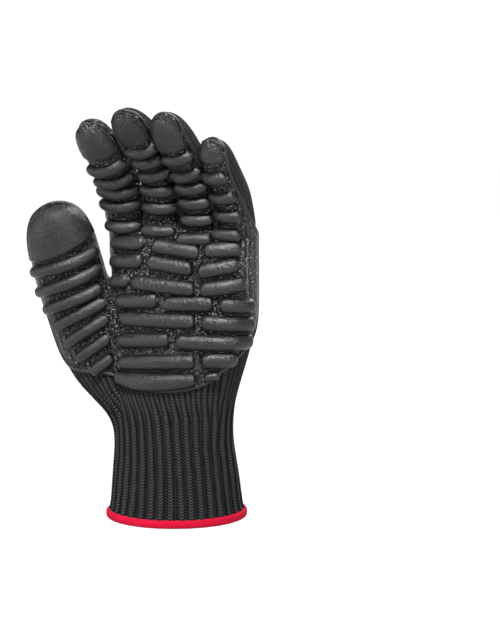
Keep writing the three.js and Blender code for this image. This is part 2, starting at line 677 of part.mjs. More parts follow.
// A pad lofted along its length, with sections at its ends and at the stops, which are shares of its
// length. place(share, across, lift) gives a point across mm from the pad's middle line
function padMesh(name, place, { stops, width, sag = 0, lift = PAD_LIFT }) {
  const start = PAD_END.map((end) => ({ ...end, along: 1 - end.along }));
  const middle = stops.map((along) => ({ along, wide: 1, rise: 1 }));
  const stations = [...start, ...middle, ...[...PAD_END].reverse()];
  const places = [];
  stations.forEach(({ along, wide, rise }) => {
    const hang = sag * (1 - (2 * along - 1) ** 2);
    PAD_SECTION.forEach((corner) => {
      const across = corner.across * wide * 0.5 * width - (hang * (1 - corner.across)) / 2;
      places.push(place(along, across, lift + corner.rise * rise * PAD_RISE));
    });
  });
  const sides = PAD_SECTION.length;
  const faces = [];
  for (let i = 0; i + 1 < stations.length; i += 1) {
    for (let j = 0; j < sides; j += 1) {
      const [a, b] = [i * sides + j, i * sides + ((j + 1) % sides)];
      faces.push([a, b, b + sides], [a, b + sides, a + sides]);
    }
  }
  const last = (stations.length - 1) * sides;
  for (let j = 2; j < sides; j += 1) faces.push([0, j, j - 1], [last, last + j - 1, last + j]);
  return meshFrom(name, places, outward(places, faces), padMaterial());
}

// Turns the faces round if they enclose a negative volume
function outward(places, faces) {
  const volume = faces.reduce((sum, [a, b, c]) => sum + places[a].dot(places[b].clone().cross(places[c])), 0);
  return volume < 0 ? faces.map((face) => [...face].reverse()) : faces;
}

// A place on a tube's front: angle round from the front in degrees, share of the length
function tubePlace(skin, tube) {
  return (angle, share, lift) => {
    const { point, side, back } = tubeFrame(tube, share);
    const direction = side.clone().multiplyScalar(tube.shape.width * Math.sin(radians(angle)));
    direction.addScaledVector(back, -tube.shape.depth * Math.cos(radians(angle))).normalize();
    return point.clone().addScaledVector(direction, meet(skin, point, direction) + lift);
  };
}

// A pad round a tube between two angles, with its ends at two places along the tube. Its sections
// stand where the coat's own corners are, so that its underside follows the coat
function tubePad(name, skin, tube, { from, to, start, end, width, lift }) {
  const onTube = tubePlace(skin, tube);
  const place = (share, across, lift) => (
    onTube(mix(from, to, share), mix(start, end, share) + across / tube.shape.length, lift)
  );
  const first = Math.ceil(from / PAD_TURN);
  const turns = Array.from({ length: Math.floor(to / PAD_TURN) - first + 1 }, (_, i) => first + i);
  const ends = 1 - PAD_END[1].along;
  const stops = turns.map((turn) => (turn * PAD_TURN - from) / (to - from));
  const inner = stops.filter((stop) => stop > ends && stop < 1 - ends);
  return padMesh(name, place, { stops: inner, width, lift });
}

function fingerPads(skin, tubes) {
  return Object.entries(FINGER_PADS).flatMap(([name, list]) => list.map((at, i) => {
    const left = smoothstep(at / ROOT_END);
    const reach = tubes[name].shape.pads * mix(ROOT_REACH, 1, left);
    return tubePad(`pad_${name}_${i + 1}`, skin, tubes[name], {
      from: -reach,
      to: reach,
      start: at,
      end: at,
      width: mix(ROOT_PAD_WIDTH, FINGER_PAD_WIDTH, left),
      lift: mix(ROOT_PAD_LIFT, PAD_LIFT, left),
    });
  }));
}

function thumbPads(skin, tubes) {
  return THUMB_PADS.map((pad, i) => tubePad(`pad_thumb_${i + 1}`, skin, tubes.thumb, {
    from: pad.from, to: pad.to, start: pad.outer, end: pad.inner, width: THUMB_PAD_WIDTH,
  }));
}

// Palm pads stand on lines that fan out from inside the palm, so that they turn with its sides
function palmPads(skin) {
  const middle = RINGS.at(-1).x * PALM_WIDTH;
  const onPalm = (x, z, lift) => {
    const foot = vector(mix(middle, x, PALM_PAD_FAN), FAN_DEPTH, z);
    const direction = vector(x, -PALM_DEPTH / 2, z).sub(foot).normalize();
    return foot.clone().addScaledVector(direction, meet(skin, foot, direction) + lift);
  };
  return PALM_PADS.map(({ name, from, to, start, end, width = PALM_PAD_WIDTH, sag }) => {
    const place = (share, across, lift) => (
      onPalm(mix(from, to, share) * PALM_WIDTH, mix(start, end, share) * HAND_LENGTH + across, lift)
    );
    const spans = Math.max(2, Math.ceil(((to - from) * PALM_WIDTH) / PAD_STEP));
    const ends = 1 - PAD_END[1].along;
    const stops = Array.from({ length: spans - 1 }, (_, i) => mix(ends, 1 - ends, (i + 1) / spans));
    return padMesh(`pad_palm_${name}`, place, { stops, width, sag });
  });
}

// The hem: one soft rim under the cuff's open edge
function hemMesh() {
  const ring = RINGS[0];
  const places = [];
  for (let i = 0; i < HEM_SIDES; i += 1) {
    const middle = ovalCorner(ring, (COLUMNS * i) / HEM_SIDES);
    const out = middle.clone().normalize();
    HEM_SECTION.forEach((corner) => {
      const place = middle.clone().addScaledVector(out, corner.out * HEM_WIDTH - KNIT_WALL / 2);
      places.push(place.add(vector(ring.x * PALM_WIDTH, 0, corner.up * HEM_HEIGHT)));
    });
  }
  const sides = HEM_SECTION.length;
  const total = places.length;
  const faces = [];
  for (let i = 0; i < HEM_SIDES; i += 1) {
    for (let j = 0; j < sides; j += 1) {
      const [a, b] = [i * sides + j, i * sides + ((j + 1) % sides)];
      faces.push([a, b, (b + sides) % total], [a, (b + sides) % total, (a + sides) % total]);
    }
  }
  return meshFrom("hem", places, outward(places, faces), hemMaterial());
}

// A flat field of the label, laid on the back of the hand
function labelField(back, { name, left, right, low, high }) {
  const [width, height] = [(right - left) * LABEL_WIDTH, (high - low) * LABEL_HEIGHT];
  const [across, up] = [Math.ceil(width / LABEL_CELL), Math.ceil(height / LABEL_CELL)];
  const lay = (x, z, lift) => {
    const from = vector(x, 0, z);
    return vector(x, meet(back, from, vector(0, 1, 0)) + lift, z);
  };
  const places = [];
  [2 * GAP, 2 * GAP + LABEL_WALL].forEach((lift) => {
    for (let j = 0; j <= up; j += 1) {
      for (let i = 0; i <= across; i += 1) {
        const x = LABEL_AT.x + (0.5 - mix(right, left, i / across)) * LABEL_WIDTH;
        const z = LABEL_AT.z + (mix(low, high, j / up) - 0.5) * LABEL_HEIGHT;
        places.push(lay(x, z, lift));
      }
    }
  });
  const layer = (across + 1) * (up + 1);
  const top = [];
  for (let j = 0; j < up; j += 1) {
    for (let i = 0; i < across; i += 1) {
      const a = layer + j * (across + 1) + i;
      top.push([a, a + 1, a + across + 2, a + across + 1]);
    }
  }
  const faces = triangles(top);
  const walls = openEdge(faces).flatMap(([a, b]) => [[b, a, a - layer], [b, a - layer, b - layer]]);
  const bottom = faces.map((face) => face.map((i) => i - layer).reverse());
  return meshFrom(name, places, outward(places, [...faces, ...bottom, ...walls]), labelMaterial(name));
}

// Assembly

const tubes = buildCage();
const surface = smoothCage();
surface.normals = normalsOf(surface.places, cage.faces.flatMap(allQuarters));
surface.faces = triangles(cage.faces.flatMap(pieces));
const skin = coatTop(surface, tubes);
const knit = surface.faces.map((face) => face.map((i) => surface.places[i]));

const glove = new THREE.Group();
glove.add(knitPiece("knit_cuff", "cuff", surface, vector(0, 0, 0)));
glove.add(knitPiece("knit_hand", "hand", surface, vector(0, 0, 1)));
Object.entries(tubes).forEach(([name, tube]) => {
  const first = (name === "thumb" ? THUMB_RINGS : FINGER_RINGS)[0];
  glove.add(knitPiece(`knit_${name}`, name, surface, tubeFrame(tube, first.at).along));
});
glove.add(coatMesh(surface, tubes));
glove.add(hemMesh());
glove.add(...palmPads(skin), ...fingerPads(skin, tubes), ...thumbPads(skin, tubes));
glove.add(...LABEL_FIELDS.map((field) => labelField(knit, field)));

export default glove;
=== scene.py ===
from math import copysign, cos, pi, sin, sqrt

import bpy
import numpy as np
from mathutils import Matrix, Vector
from mathutils.bvhtree import BVHTree


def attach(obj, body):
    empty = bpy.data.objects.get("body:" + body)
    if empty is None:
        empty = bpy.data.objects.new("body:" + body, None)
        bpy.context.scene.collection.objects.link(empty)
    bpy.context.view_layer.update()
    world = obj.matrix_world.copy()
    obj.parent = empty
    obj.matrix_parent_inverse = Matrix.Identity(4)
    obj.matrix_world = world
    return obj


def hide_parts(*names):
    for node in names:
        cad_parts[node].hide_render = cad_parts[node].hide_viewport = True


# An anti-vibration work glove for the left hand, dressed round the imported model.
# Sizes are millimetres until a mesh is made. The palm faces -Y and the thumb is at -X.

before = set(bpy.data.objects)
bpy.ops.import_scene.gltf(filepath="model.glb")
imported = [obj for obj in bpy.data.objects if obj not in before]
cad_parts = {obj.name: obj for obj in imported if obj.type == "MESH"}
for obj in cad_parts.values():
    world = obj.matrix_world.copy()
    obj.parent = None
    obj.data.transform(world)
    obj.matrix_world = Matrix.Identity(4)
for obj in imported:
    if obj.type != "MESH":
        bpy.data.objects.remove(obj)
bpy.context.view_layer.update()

scene = bpy.context.scene
norm = np.linalg.norm
MM = 0.001
RNG = np.random.default_rng(7)

# Driving sizes, as in the solids. Sections are the cuff's, the wrist's and the palm's
HAND_LENGTH = 176.0
PALM_WIDTH = 97.0
PALM_DEPTH = 40.0
SECTION_WIDTH = (84.0, 73.0, PALM_WIDTH)
SECTION_DEPTH = (58.0, 50.0, PALM_DEPTH)
CUFF, WRIST, PALM = 0, 1, 2
KNIT_WALL = 2.0
COAT_TOP = 1.5
PAD_RISE = 3.2
CAP_RISE = 2.0
HEM_HEIGHT = 5.2
HEM_WIDTH = 4.4
HEM_LAP = 0.4

# Columns of the cage round the hand, and places across the palm
COLUMNS = 24
BACK = list(range(1, 10))
THUMB = list(range(10, 15))
FRONT = list(range(15, 24))
STATIONS = (-0.41, -0.33, -0.25, -0.125, 0.0, 0.125, 0.25, 0.33, 0.41)
PALM_POWER = 2.4

# Rings of the hand: height, base section, shares of its width and depth, sideways shift, how far
# it has left the cuff's oval, turn, and the thumb section that it joins
RINGS = (
    (0.0, CUFF, 1, 1, -0.005, 0, 20, (0, 1, 1)),
    (0.05, CUFF, 0.965, 0.97, -0.005, 0, 18, (0, 1, 1)),
    (0.16, WRIST, 1.07, 1.05, -0.01, 0, 13, (0, 1, 1)),
    (0.28, WRIST, 1, 1, -0.02, 0, 8, (0, 1, 1)),
    (0.38, WRIST, 1.03, 0.98, -0.015, 0.35, 4, (0.04, 0.95, 1.3)),
    (0.48, PALM, 0.84, 1.12, 0.01, 0.75, 0, (0.15, 0.98, 1.22)),
    (0.57, PALM, 0.92, 1.1, 0.03, 0.95, 0, (0.26, 1, 1.15)),
    (0.66, PALM, 0.98, 1.06, 0.046, 1, 0, (0.36, 1, 1.08)),
    (0.75, PALM, 1, 1.02, 0.052, 1, 0, (0.46, 0.98, 1.04)),
    (0.83, PALM, 1, 1, 0.052, 1, 0, (0.54, 0.96, 1)),
    (0.89, PALM, 1, 0.97, 0.052, 1, 0, None),
    (0.945, PALM, 1, 0.92, 0.052, 1, 0, None),
    (1.0, PALM, 1, 0.84, 0.052, 1, 0, None),
)
CUFF_TOP = 4
SPLIT = 9
THUMB_ROOT = RINGS[SPLIT][-1][0]
WEB_SHIFT = (-3.0, 0.0, -4.0)
CROTCH_DIP = 3.0
SMOOTHINGS = 3

# Fingers and thumb: root as shares of the palm's width, depth and length, then length, width,
# depth, lean, twist, and the bends and sways of the joints
SHAPES = {
    "index": (-0.314, -0.005, 1, 82.5, 22.8, 22, -3.5, 8.5, (21.5, 19.5, 3), (2.5, -13, 1)),
    "middle": (-0.063, 0.018, 1.006, 94, 21.7, 22.5, -2.9, 6.5, (18, 21.5, 18.5), (4, -14.5, -1.5)),
    "ring": (0.194, 0.03, 1, 89, 22, 22.5, -1.3, 1.5, (20.5, 17.5, 9), (0.5, -10.5, 1.5)),
    "little": (0.437, -0.038, 0.989, 68, 20, 20, -1.8, -17.5, (18, 15, -1), (5.5, -6, 8.5)),
    "thumb": (-0.309, -0.075, 0.318, 147, 41, 30, -26, 16, (10, 6, 8), (5, 6, 5)),
}
FINGERS = ("index", "middle", "ring", "little")
FINGER_JOINTS = (0, 0.42, 0.72)
THUMB_JOINTS = (0.3, 0.5, 0.74)
JOINT_BLEND = 0.1
STEPS = 200

# A finger's ring has eight corners, which the smoothing draws in
SIDES = 8
CORNER_GROWTH = 6 / (4 + 2 * cos(2 * pi / SIDES))

# Rings of a finger and of the thumb: place, shares of width and depth, and how far round the coat
# reaches on a side with a neighbour (beyond the pads, on a finger), a free side and the web's side
FINGER_RINGS = (
    (0.1, 1, 1, 14, 92, 150),
    (0.26, 0.98, 0.97, 14, 72, 150),
    (0.42, 1, 0.98, 14, 60, 125),
    (0.57, 0.96, 0.93, 14, 57, 100),
    (0.72, 0.97, 0.9, 14, 57, 90),
    (0.86, 0.9, 0.8, 16, 60, 92),
    (0.965, 0.6, 0.52, 44, 88, 110),
)
THUMB_RINGS = (
    (0.61, 0.95, 1.02, 84, 84, 150),
    (0.69, 0.98, 0.97, 88, 88, 150),
    (0.77, 0.95, 0.92, 92, 92, 148),
    (0.85, 0.92, 0.86, 98, 98, 145),
    (0.925, 0.8, 0.74, 112, 112, 140),
    (0.98, 0.52, 0.46, 135, 135, 145),
)
TIP_AT = 1.017
TIP_COVER = 0.7
SIDE_ANGLE = (90, 135, 180, 135, 90, 45, 0, 45)
COVER_STEP = 45

# Coat cover of the hand, positive where there is coat, and the heights where it starts
COLUMN_COVER = {0: 0.5, 1: -0.7, 8: -1.2, 9: -0.8, 12: -0.3, 13: 0.5, 14: 1.1, 22: 1.2, 23: 1}
BACK_COVER = -1.6
FRONT_COVER = 1.3
FOOT = {
    0: 0.66, 13: 0.62, 14: 0.56, 15: 0.503, 16: 0.485, 17: 0.476,
    18: 0.471, 19: 0.474, 20: 0.481, 21: 0.497, 22: 0.528, 23: 0.57,
}
FOOT_FADE = 15.0
WEB_COVER = {
    (8, 9): -0.3, (9, 8): -0.6, (9, 9): 0.5, (9, 10): -0.1, (10, 9): 0.5, (11, 9): 0.5, (12, 9): 0.5,
}
WEB_LINE_COVER = 1.2
CROTCH_COVER = -2.0

# The coat's thin border: its height, the cover where it is full, and the bead along it
BORDER_TOP = 0.35
BORDER_COVER = 0.1
BEAD_RADIUS = 1.15
BEAD_HEIGHT = 0.75
BEAD_SIDES = 8
BEAD_STEP = 1.2
LEAST_BORDER = 20

# The tips' smooth caps: where they start, how far round they reach, their rims and lips
CAP_START = {"index": 0.76, "middle": 0.793, "ring": 0.776, "little": 0.845, "thumb": 0.815}
CAP_SIDE = -0.2
CAP_TILT = -0.3
CAP_RIM = 1.3
CAP_COVER = 0.2
LIP_FRONT = 0.3
LIP_SPREAD = 0.09
LIP_RISE = 0.7

# The plainer surface that the pads are laid on
SKIN_CAP_RIM = 3.0
SKIN_CAP_RISE = 1.6
SKIN_CAP_COVER = 0.8

# Finger pads: places along the finger, degrees to each side, and their form at its root
FINGER_PADS = {
    "index": (0.637, 0.512, 0.382, 0.261, 0.1),
    "middle": (0.692, 0.587, 0.473, 0.32, 0.2, 0.065),
    "ring": (0.687, 0.542, 0.415, 0.285, 0.16, 0.05),
    "little": (0.697, 0.498, 0.28, 0.11),
}
PAD_REACH = {"index": 58, "middle": 47, "ring": 42, "little": 42}
PAD_MORE = 6
ROOT_END = 0.2
ROOT_REACH = 0.56
ROOT_PAD_WIDTH = 7.6
ROOT_PAD_LIFT = 1.2
FINGER_PAD_WIDTH = 8.4

# Thumb pads: places of the outer and inner ends and their angles
THUMB_PADS = (
    (0.735, 0.785, -72, 66),
    (0.65, 0.7, -72, 60),
    (0.575, 0.62, -62, 47),
    (0.5, 0.56, -49, 41),
    (0.425, 0.48, -35, 36),
    (0.352, 0.395, -23, 29),
    (0.27, 0.3, -11, 23),
)
THUMB_PAD_WIDTH = 8.4

# Palm pads: ends across, heights of the ends, and for some the width and the sag of the lower edge
PALM_PADS = {
    "a1": (-0.42, -0.125, 0.965, 0.975), "a2": (-0.07, 0.24, 0.967, 0.95),
    "a3": (0.262, 0.53, 0.957, 0.965),
    "b1": (-0.42, -0.13, 0.9, 0.914), "b2": (-0.098, 0.195, 0.911, 0.894),
    "b3": (0.22, 0.51, 0.885, 0.912),
    "c1": (-0.4, -0.23, 0.835, 0.842), "c2": (-0.2, 0.208, 0.839, 0.826),
    "c3": (0.235, 0.58, 0.824, 0.848),
    "d1": (-0.33, -0.022, 0.768, 0.782), "d2": (0.008, 0.325, 0.773, 0.78),
    "d3": (0.358, 0.71, 0.776, 0.766),
    "e1": (-0.295, 0.21, 0.711, 0.718), "e2": (0.24, 0.71, 0.716, 0.703),
    "f1": (-0.31, 0.056, 0.635, 0.652), "f2": (0.086, 0.7, 0.648, 0.643),
    "g1": (-0.3, 0.212, 0.56, 0.583), "g2": (0.244, 0.51, 0.585, 0.587),
    "h1": (-0.34, 0.215, 0.506, 0.52, 7.6, 4.0), "h2": (0.26, 0.37, 0.528, 0.535, 6.2, 0.0),
}
PALM_PAD_WIDTH = 9.6
PALM_PAD_FAN = 0.55
PALM_PAD_FOOT = PALM_DEPTH / 6
PALM_MIDDLE = 0.052 * PALM_WIDTH

# Form of the pads: facets, sinking, plan, ends and section, and small lumps
PAD_FACET = 0.9
PAD_LEAST = 14
PAD_ACROSS = 15
PAD_EVEN = 0.55
PAD_LIFT = 0.4
PAD_SINK = 0.5
PAD_POWER = 2.6
PAD_SIDE_POWER = 0.6
PAD_ROUND = (0.5, 0.42)
PAD_END = 2.8
PAD_END_POWER = 2.4
PAD_LEAST_PLAN = 0.06
PAD_CROWN = 0.06
PAD_BULGE = 0.05
PAD_WAVER = 0.02
# How far across and how high a pad's steep sides are, which the pad material darkens with painted shade
PAD_EDGE = (0.72, 0.3)
PAD_SAMPLES = 24

# Hem: threads, powers of its section, and slow ripples round it, each a height, half turns and start
THREADS = 190
THREAD_POINTS = 5
THREAD_SLANT = 1.5
THREAD_SWELL = 0.035
HEM_SIDES = 18
HEM_POWERS = (0.8, 0.85)
HEM_OUT = 0.25
HEM_RIPPLE = 0.1
HEM_RIPPLES = ((0.25, 14, 0), (0.2, 22, 1))

# Knit: stitch columns round the glove and in a side wall, and the height of a stitch
WALES = 70
COURSE = 1.8
WEB_WALES = 4.5
SIDE_WALES = 3.0
STITCH_SLOPE = 2.0
STITCH_WOBBLE = 0.35
YARN_POWER = 4
ON_YARN = (0.5, 0.5)
NO_STITCH = (0.0, 0.0)

# Ribs of the cuff. Slow waves have a share, a length and a step from rib to rib
RIB_RISE = 1.5
RIB_LEVEL = 0.68
RIB_POWER = 0.42
RIB_CENTRE = 0.4
RIB_SPLIT = 0.8
RIB_FADE = (58.0, 84.0)
RIB_DRIFT = (0.05, 9, 1.7)
RIB_SWAY = (0.07, 23, 0.6)
RIB_UNEVEN = (0.15, 17, 1.3)
RIB_STEPS = 12
CUFF_ROWS = 52
WRIST_ROWS = 16

# Label: size, place, border, seam and tab, and the lifts and corners of its two layers
LABEL_WIDTH = 48.0
LABEL_HEIGHT = 44.0
LABEL_PLACE = (0.11, 0.72)
LABEL_RIM = 0.9
LABEL_SEAM = 0.452
LABEL_TAB = 0.16
LABEL_BASE = ((0.1, 0.75), 4.0)
LABEL_FIELD = ((0.5, 1.0), 3.4)
LABEL_GRID = (36, 30)

# Darkest and lightest colour of each material
# The knit's darkest colour is painted shade, in the gaps between stitches and in the rib valleys
KNIT_TINTS = ((0.0006, 0.0006, 0.0007), (0.054, 0.054, 0.0555))
# The coat's lightest colour is a painted highlight, for the glints on its bare stitches
COAT_AND_GLINT_TINTS = ((0.001, 0.001, 0.0011), (0.34, 0.34, 0.35))
# The caps' lighter colour makes painted highlight specks over a random mottle
CAP_TINTS = ((0.002, 0.002, 0.0022), (0.028, 0.028, 0.0295))
# The pads' lighter colour makes painted highlight specks, and painted shade darkens their sides
PAD_TINTS = ((0.0008, 0.0008, 0.0009), (0.01, 0.01, 0.0107))
HEM_TINTS = ((0.1, 0.0, 0.005), (0.43, 0.001, 0.024))
DARK_TINTS = ((0.014, 0.011, 0.012), (0.026, 0.02, 0.021))
AMBER_TINTS = ((0.78, 0.31, 0.012), (0.9, 0.41, 0.022))
RED_TINTS = ((0.5, 0.004, 0.022), (0.66, 0.01, 0.04))

# Camera, and the stage in metres: half its width, depth and height, and its glows and greys
TARGET = np.array([0.0, -8.0, 128.0])
AZIMUTH, ELEVATION = 22.0, 10.0
DISTANCE = 1000.0
ASIDE = 47.4
LENS = 96.0
FAR = 20
STAGE = (4.0, 2.5, 5.0)
FLOOR_GLOW = (0.9, 0.15)
WALL_GLOW = (1.0, 0.1)
WORLD_GLOW = 0.12
STAGE_ROUGH = 0.9
STAGE_CLOUD = 0.02

# Lights: place, size and power
LIT_MIDDLE = (0, 0, 130)
LIGHTS = {
    "key": ((150, -750, 1200), (240, 180), 46),
    "left": ((-900, -850, 300), (260, 420), 7),
    "right": ((800, -900, 350), (260, 420), 7),
    "rim": ((250, 900, 900), (300, 300), 12),
}


def radians(degrees):
    return degrees * pi / 180


def mix(a, b, share):
    return a + (b - a) * share


def smoothstep(x):
    t = np.clip(x, 0, 1)
    return t * t * (3 - 2 * t)


def rounded(share, power):
    """From 0 to 1 along a rounded end"""
    return (1 - (1 - min(1, share)) ** power) ** (1 / power)


def turned(v, axis, degrees):
    c, s = cos(radians(degrees)), sin(radians(degrees))
    return v * c + np.cross(axis, v) * s + axis * axis.dot(v) * (1 - c)


def softened(line, rounds):
    """A closed line, each point drawn towards its neighbours"""
    for _ in range(rounds):
        line = (np.roll(line, 1, 0) + 2 * line + np.roll(line, -1, 0)) / 4
    return line


class Tube:
    """A finger's or the thumb's centre line, with its side, back and direction at each step"""

    def __init__(self, name):
        x, y, z, self.length, self.width, self.depth, lean, twist, bend, sway = SHAPES[name]
        joints = THUMB_JOINTS if name == "thumb" else FINGER_JOINTS
        side, back, along = (turned(v, np.array([0.0, 1.0, 0.0]), lean) for v in np.eye(3))
        side, back, along = (turned(v, along, twist) for v in (side, back, along))
        point = np.array([x * PALM_WIDTH, y * PALM_DEPTH, z * HAND_LENGTH])
        self.steps = [(point, side, back, along)]
        for i in range(STEPS):
            before, after = (i / STEPS if i else -1), (i + 1) / STEPS
            for joint, phi, psi in zip(joints, bend, sway):
                share = self.bent(after, joint) - self.bent(before, joint)
                side, along = (turned(v, back, psi * share) for v in (side, along))
                back, along = (turned(v, side, phi * share) for v in (back, along))
            point = point + along * self.length / STEPS
            self.steps.append((point, side, back, along))

    @staticmethod
    def bent(share, joint):
        return float(smoothstep((share - joint + JOINT_BLEND) / (2 * JOINT_BLEND)))

    def frame(self, share):
        point, side, back, along = self.steps[round(min(1, max(0, share)) * STEPS)]
        return point + along * max(0, share - 1) * self.length, side, back, along

    def ring(self, share, wide, deep):
        point, side, back, _ = self.frame(share)
        out, up = 0.5 * CORNER_GROWTH * self.width * wide, 0.5 * CORNER_GROWTH * self.depth * deep
        angles = [2 * pi * i / SIDES for i in range(SIDES)]
        return [point + side * out * cos(a) + back * up * sin(a) for a in angles]


def oval_corner(ring, column):
    _, base, wide, deep, _, _, turn, _ = ring
    angle = radians(360 / COLUMNS * column - turn)
    x = 0.5 * SECTION_WIDTH[base] * wide * cos(angle)
    y = 0.5 * SECTION_DEPTH[base] * deep * sin(angle)
    c, s = cos(radians(turn)), sin(radians(turn))
    return np.array([x * c - y * s, x * s + y * c, 0.0])


def palm_corner(ring, column):
    _, base, wide, deep = ring[:4]
    if column == 0:
        return np.array([0.5 * SECTION_WIDTH[base] * wide, 0.0, 0.0])
    at_back = column in BACK
    station = STATIONS[-1 - BACK.index(column) if at_back else FRONT.index(column)]
    share = 1 - abs(2 * station) ** PALM_POWER
    y = 0.5 * SECTION_DEPTH[base] * deep * share ** (1 / PALM_POWER)
    return np.array([SECTION_WIDTH[base] * wide * station, y if at_back else -y, 0.0])


def hand_cover(index, column, height):
    if (index, column) in WEB_COVER:
        return WEB_COVER[index, column]
    full = COLUMN_COVER.get(column, FRONT_COVER if column in FRONT else BACK_COVER)
    return min(full, (height - FOOT.get(column, 0) * HAND_LENGTH) / FOOT_FADE)


class Cage:
    """A coarse net of faces. Points carry the coat's cover, and face corners the stitches"""

    def __init__(self):
        self.points, self.faces, self.uvs, self.parts = [], [], [], []

    def add(self, point, cover):
        self.points.append([*point, cover])
        return len(self.points) - 1

    def place(self, index):
        return np.array(self.points[index][:3])

    def face(self, corners, uvs, part):
        self.faces.append(corners)
        self.uvs.append(uvs)
        self.parts.append(part)

    def row(self, lower, upper, wales, courses, part):
        """wales are each face's left and right stitch columns, below and above"""
        low, high = courses
        for i in range(len(lower)):
            j = (i + 1) % len(lower)
            (a, b), (c, d) = wales[0][i], wales[1][i]
            corners = (lower[i], lower[j], upper[j], upper[i])
            self.face(corners, ((a, low), (b, low), (d, high), (c, high)), part)

    def net(self):
        return np.array(self.points), np.array(self.faces), np.array(self.uvs, float), np.array(self.parts)


def round_wales(points, total):
    """Stitch columns round a closed ring, by its length"""
    steps = norm(np.roll(points, -1, 0) - points, axis=1)
    return np.concatenate([[0], np.cumsum(steps)]) * total / steps.sum()


def spans(marks):
    return list(zip(marks[:-1], marks[1:]))


def hand_rings(cage, thumb):
    """Rings of corners up to the finger roots, and their heights in stitches"""
    rings, heights = [], []
    for index, ring in enumerate(RINGS):
        at, _, _, _, shift, hand, _, joined = ring
        height = max(at * HAND_LENGTH, HEM_HEIGHT - HEM_LAP)
        place = np.array([shift * PALM_WIDTH, 0.0, height])
        joining = dict(zip(THUMB, thumb.ring(*joined)[2:])) if joined else {}
        corners = {}
        for column in [0, *BACK, *joining, *FRONT]:
            oval = oval_corner(ring, column) + place
            target = joining[column] if column in joining else palm_corner(ring, column) + place
            corners[column] = cage.add(mix(oval, target, hand), hand_cover(index, column, height))
        rings.append(corners)
        heights.append(height / COURSE)
    return rings, heights


def lower_hand(cage, rings, heights):
    """Faces up to the split, and the stitch columns there"""
    full = [[ring[c] for c in range(COLUMNS)] for ring in rings[: SPLIT + 1]]
    marks = [round_wales(np.array([cage.place(i) for i in ring]), WALES) for ring in full]
    for i in range(SPLIT):
        part = "cuff" if i < CUFF_TOP else "wrist" if i == CUFF_TOP else "hand"
        cage.row(full[i], full[i + 1], (spans(marks[i]), spans(marks[i + 1])), heights[i : i + 2], part)
    return marks[SPLIT]


def upper_hand(cage, rings, heights, mark):
    """Faces above the split, closed on the thumb's side by a line, whose ends it gives"""
    last, first = BACK[-1], FRONT[0]
    middle = (cage.place(rings[SPLIT][last]) + cage.place(rings[SPLIT][first])) / 2
    side = [cage.add(middle + np.array(WEB_SHIFT), WEB_LINE_COVER)]
    for (_, _, wide, _, shift, *_), height in zip(RINGS[SPLIT + 1 :], heights[SPLIT + 1 :]):
        side.append(cage.add(((shift - 0.5 * wide) * PALM_WIDTH, 0, height * COURSE), WEB_LINE_COVER))
    a, b = mark[last], mark[first]
    wales = [*spans(mark[: last + 1]), (a, a + WEB_WALES), (b - WEB_WALES, b), *spans(mark[first:])]
    loops = [[c[0], *[c[k] for k in BACK], s, *[c[k] for k in FRONT]] for c, s in zip(rings[SPLIT:], side)]
    for i in range(len(loops) - 1):
        courses = heights[SPLIT + i : SPLIT + i + 2]
        cage.row(loops[i], loops[i + 1], (wales, wales), courses, "hand")
    return side[0], side[-1]


def covers_round(name, near, free, web_reach):
    """Coat cover round a finger or the thumb"""
    near = near + PAD_REACH.get(name, 0)
    inner = free if name == "little" else near
    outer = web_reach if name == "index" else near
    if name == "thumb":
        inner, outer = web_reach, free
    half = (inner + outer) / 2
    reach = (inner, inner, half, outer, outer, outer, half, inner)
    return [(r - a) / COVER_STEP for r, a in zip(reach, SIDE_ANGLE)]


def close_tip(cage, ring, wales, tip, courses):
    """Four faces that meet at a fingertip"""
    low, high = courses
    for i in range(0, SIDES, 2):
        before = (i - 1) % SIDES
        a, b, c = wales[before][0], wales[i][0], wales[i][1]
        if abs(wales[before][1] - b) > 0.01:
            b = wales[before][1]
            c = b + wales[i][1] - wales[i][0]
        corners = (ring[before], ring[i], ring[i + 1], tip)
        cage.face(corners, ((a, low), (b, low), (c, low), (b, high)), "hand")


def grow(cage, name, tube, loop, wales, start):
    """A finger or the thumb on a loop of corners. wales are its first row's and the others'"""
    rows, begin = (THUMB_RINGS, THUMB_ROOT) if name == "thumb" else (FINGER_RINGS, 0)
    ring, below, height = loop, wales[0], start
    for at, wide, deep, *reach in rows:
        covers = covers_round(name, *reach)
        upper = [cage.add(p, c) for p, c in zip(tube.ring(at, wide, deep), covers)]
        above = start + (at - begin) * tube.length / COURSE
        cage.row(ring, upper, (below, wales[1]), (height, above), "hand")
        ring, below, height = upper, wales[1], above
    tip = cage.add(tube.frame(TIP_AT)[0], TIP_COVER)
    over = start + (TIP_AT - begin) * tube.length / COURSE
    close_tip(cage, ring, wales[1], tip, (height, over))


def finger_wales(mark, back, front):
    """Stitch columns round a finger, a whole number in all, at its root and above"""
    seam = mark[front[2]] - mark[back[0]]
    rows = [[], []]
    for row, wide in zip(rows, (WEB_WALES, SIDE_WALES)):
        w = (round(2 * wide + seam) - seam) / 2
        for a, _, b in (back, front):
            row += [(mark[a] - w, mark[a]), *spans(mark[a : b + 1]), (mark[b], mark[b] + w)]
    return rows


def grow_fingers(cage, tubes, top, end, mark, start):
    """The fingers on the last ring, which bridges divide into four"""
    bridges = [end]
    for k in FRONT[2:8:2]:
        point = (cage.place(top[k]) + cage.place(top[COLUMNS - k])) / 2
        bridges.append(cage.add(point - np.array([0, 0, CROTCH_DIP]), CROTCH_COVER))
    bridges.append(top[0])
    for i, name in enumerate(FINGERS):
        front, back = FRONT[2 * i : 2 * i + 3], BACK[6 - 2 * i : 9 - 2 * i]
        loop = [bridges[i + 1], *[top[c] for c in back], bridges[i], *[top[c] for c in front]]
        grow(cage, name, tubes[name], loop, finger_wales(mark, back, front), start)


